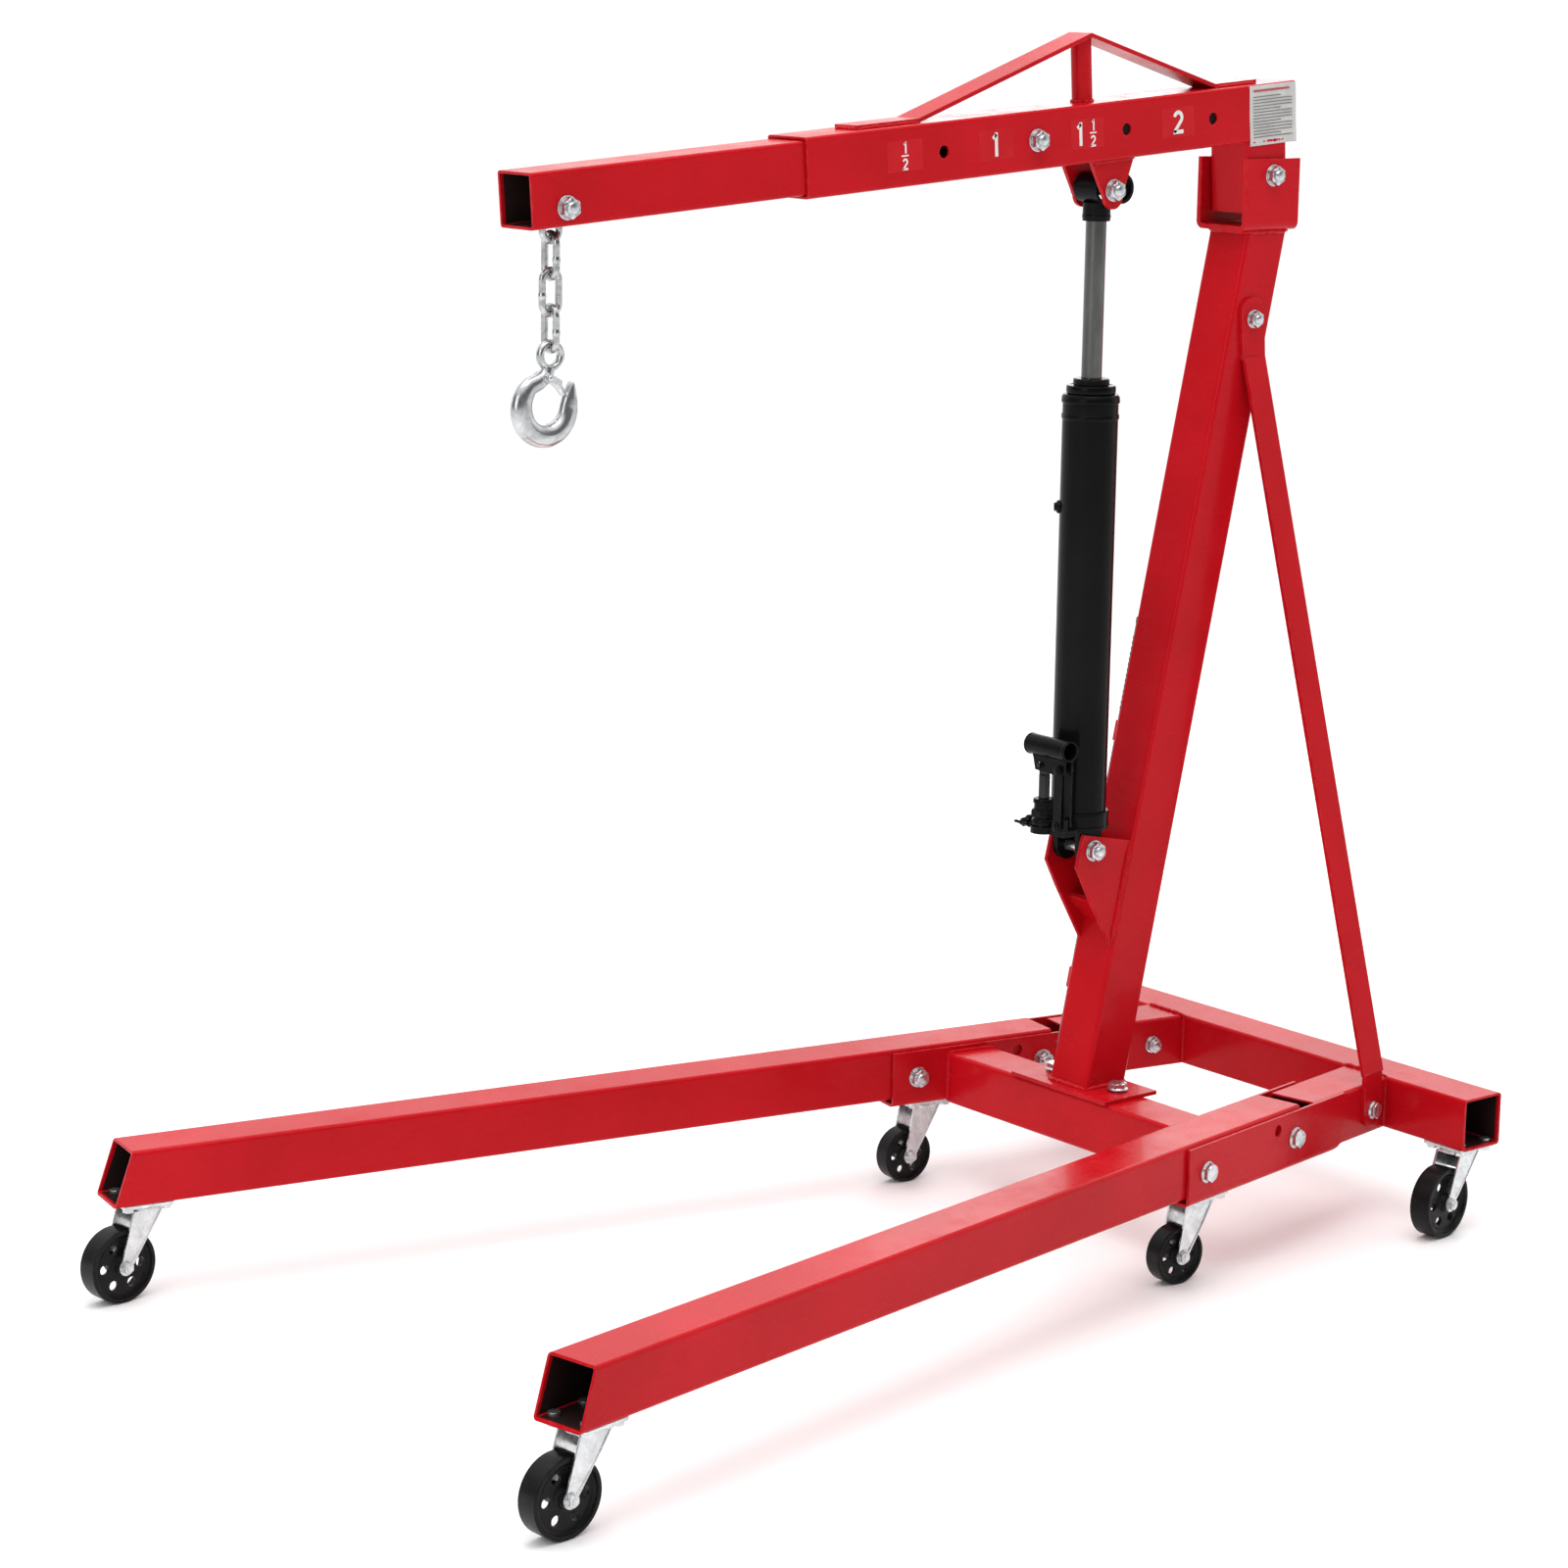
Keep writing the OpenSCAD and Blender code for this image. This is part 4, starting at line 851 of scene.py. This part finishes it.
def boom_numbers():
    """Numerals beside the lock holes, each on its patch of clear film, on both faces."""
    shape = Shape()
    patch = Shape()
    foot, tall = 65, 28
    for b, text in zip(LOCK_HOLES, ("2", "1 1/2", "1", "1/2")):
        b += 65 if text.startswith("1 ") or text == "1" else 60
        for s in (1, -1):
            y = s * 35.25
            toward = -s
            patch.grid([[(b - 27, s * 35.12, z), (b + 27, s * 35.12, z)] for z in (61, 97)],
                       BOOM, False)
            if "/" not in text:
                numeral(shape, text, b, foot, tall, y, toward)
                continue
            half = b
            if text.startswith("1 "):
                numeral(shape, "1", b - toward * 11, foot, tall, y, toward)
                half = b + toward * 9
            numeral(shape, "1", half + toward * 1.2, 81.5, 13.5, y, toward)
            numeral(shape, "bar", half, 71.5, 15, y, toward)
            numeral(shape, "2", half, 62.5, 13.5, y, toward)
    patch.piece("number_film", PATCH, "boom", 40, "red_paint")
    shape.piece("position_numbers", VINYL, "boom", 40, "red_paint")


boom_numbers()


def sheet_label(corner, width, height, lines, lift):
    """Pale film on the boom with a slightly lifted edge and ruled lines in place of print."""
    film, ink, title = Shape(), Shape(), Shape()
    count = 18

    def bow(t):
        return 0.25 + lift * max(0, (t - 0.78) / 0.22) ** 2

    def rule(shape, start, length, level, thick):
        row = []
        for i in range(count + 1):
            t = start + length * i / count
            row.append((corner[0] - width * t, corner[1] + bow(t) + 0.62, level))
        shape.grid([row, [(x, y, z + height * thick) for x, y, z in row]], BOOM, False)

    rows = []
    for j in range(13):
        v = j / 12
        rows.append([(corner[0] - width * i / count,
                      corner[1] + bow(i / count) + 0.25 * math.sin(v * 9 + i * 0.4),
                      corner[2] + height * v) for i in range(count + 1)])
    film.grid(rows, BOOM, False)
    for k in range(lines):
        level = corner[2] + height * (0.80 - 0.72 * k / lines)
        rule(ink, 0.07, 0.86 if k % 4 else 0.62, level, 0.016)
    rule(title, 0.08, 0.8, corner[2] + height * 0.89, 0.035)
    film.piece("boom_sheet_film", SHEET, "boom", 60, "red_paint")
    ink.piece("boom_sheet_lines", INK, "boom", 60, "red_paint")
    title.piece("boom_sheet_heading", RED_INK, "boom", 60, "red_paint")


sheet_label((32, 35, 38), 78, 74, 14, 3.0)


def cylinder_label():
    """Curved film on the ram with ruled lines, every third one short."""
    film, ink = Shape(), Shape()

    def patch(shape, start, end, low, high, r):
        turns = [math.radians(start + (end - start) * i / 16) for i in range(17)]
        shape.grid([[(RAM_X + r * math.cos(a), r * math.sin(a), z) for a in turns]
                    for z in (low, high)], WORLD, False)

    patch(film, -118, -62, 700, 850, 34.75)
    for k in range(14):
        short = 14 if k % 3 == 2 else 0
        patch(ink, -112, -68 - short, 712 + k * 9, 715 + k * 9, 34.9)
    film.piece("cylinder_label_film", VINYL, "ram", 60, "black_paint")
    ink.piece("cylinder_label_lines", INK, "ram", 60, "black_paint")


cylinder_label()


# ---------------------------------------------------------------- stage, light and camera

def floor_material():
    n = Nodes("pale_floor")
    color = n.mix(n.ramp(n.noise(0.8, 3), 0.3, 0.7), (0.965, 0.965, 0.965), (0.955, 0.955, 0.957))
    rough_out = n.ramp(n.noise(3, 3), 0.3, 0.7, 0.55, 0.65)
    normal = n.bump(n.noise(40, 2), 0.02, 0.0005)
    return n.done(color, rough_out, normal, spec=0.2)


FLOOR_HALF = 260
floor_mesh = bpy.data.meshes.new("floor")
floor_mesh.from_pydata([(x * FLOOR_HALF, y * FLOOR_HALF, 0)
                        for x, y in ((-1, -1), (1, -1), (1, 1), (-1, 1))], [], [(0, 1, 2, 3)])
floor = bpy.data.objects.new("floor", floor_mesh)
bpy.context.scene.collection.objects.link(floor)
floor_mesh.materials.append(floor_material())


def studio_world(low, high, strength):
    """White backdrop behind and above the hoist, a dim room in front of it for reflections."""
    world = bpy.data.worlds.new("studio")
    bpy.context.scene.world = world
    world.use_nodes = True
    tree = world.node_tree
    background = tree.nodes["Background"]
    background.inputs["Strength"].default_value = strength
    direction = tree.nodes.new("ShaderNodeTexCoord").outputs["Generated"]
    reach = []
    for axis, start, end in (((0, 0, 1), 0.36, 0.72), ((-0.70, -0.71, 0.0), -0.15, 0.45)):
        dot = tree.nodes.new("ShaderNodeVectorMath")
        dot.operation = "DOT_PRODUCT"
        dot.inputs[1].default_value = axis
        tree.links.new(direction, dot.inputs[0])
        ramp = tree.nodes.new("ShaderNodeMapRange")
        ramp.interpolation_type = "SMOOTHSTEP"
        ramp.inputs["From Min"].default_value = start
        ramp.inputs["From Max"].default_value = end
        tree.links.new(dot.outputs["Value"], ramp.inputs["Value"])
        reach.append(ramp.outputs["Result"])
    most = tree.nodes.new("ShaderNodeMath")
    most.operation = "MAXIMUM"
    tree.links.new(reach[0], most.inputs[0])
    tree.links.new(reach[1], most.inputs[1])
    shade = tree.nodes.new("ShaderNodeMapRange")
    shade.inputs["To Min"].default_value = low
    shade.inputs["To Max"].default_value = high
    tree.links.new(most.outputs["Value"], shade.inputs["Value"])
    seen = tree.nodes.new("ShaderNodeMath")
    seen.operation = "MAXIMUM"
    tree.links.new(shade.outputs["Result"], seen.inputs[0])
    tree.links.new(tree.nodes.new("ShaderNodeLightPath").outputs["Is Camera Ray"], seen.inputs[1])
    tree.links.new(seen.outputs["Value"], background.inputs["Color"])


studio_world(0.10, 1.0, 1.26)


def area_light(name, place, aim, size, power):
    data = bpy.data.lights.new(name, "AREA")
    data.shape = "RECTANGLE"
    data.size, data.size_y = size
    data.energy = power
    lamp = bpy.data.objects.new(name, data)
    lamp.location = place
    lamp.rotation_euler = (Vector(aim) - Vector(place)).to_track_quat("-Z", "Y").to_euler()
    bpy.context.scene.collection.objects.link(lamp)


area_light("key_above", (0.6, 0.4, 4.6), (-0.1, 0, 0.4), (3.6, 3.0), 90)
area_light("soft_front", (4.6, 1.2, 2.4), (0, 0, 0.7), (2.6, 2.6), 45)
area_light("rim_back", (-3.6, -2.6, 2.6), (-0.2, 0, 0.7), (2.2, 2.4), 30)

camera_data = bpy.data.cameras.new("camera")
camera = bpy.data.objects.new("camera", camera_data)
bpy.context.scene.collection.objects.link(camera)
bpy.context.scene.camera = camera
azimuth, elevation, roll = math.radians(50.998), math.radians(11.916), math.radians(0.87)
forward = -Vector((math.cos(elevation) * math.cos(azimuth), math.cos(elevation) * math.sin(azimuth),
                   math.sin(elevation)))
level = forward.cross(Vector((0, 0, 1))).normalized()
head = level.cross(forward).normalized()
right_dir = level * math.cos(roll) + head * math.sin(roll)
up_dir = head * math.cos(roll) - level * math.sin(roll)
turned = Matrix((right_dir, up_dir, -forward)).transposed().to_4x4()
camera.matrix_world = Matrix.Translation(Vector((2.9899, 3.5696, 1.5986))) @ turned
camera_data.lens = 91.68
camera_data.sensor_width = 36
camera_data.clip_end = 600
bpy.context.scene.view_settings.view_transform = "Standard"
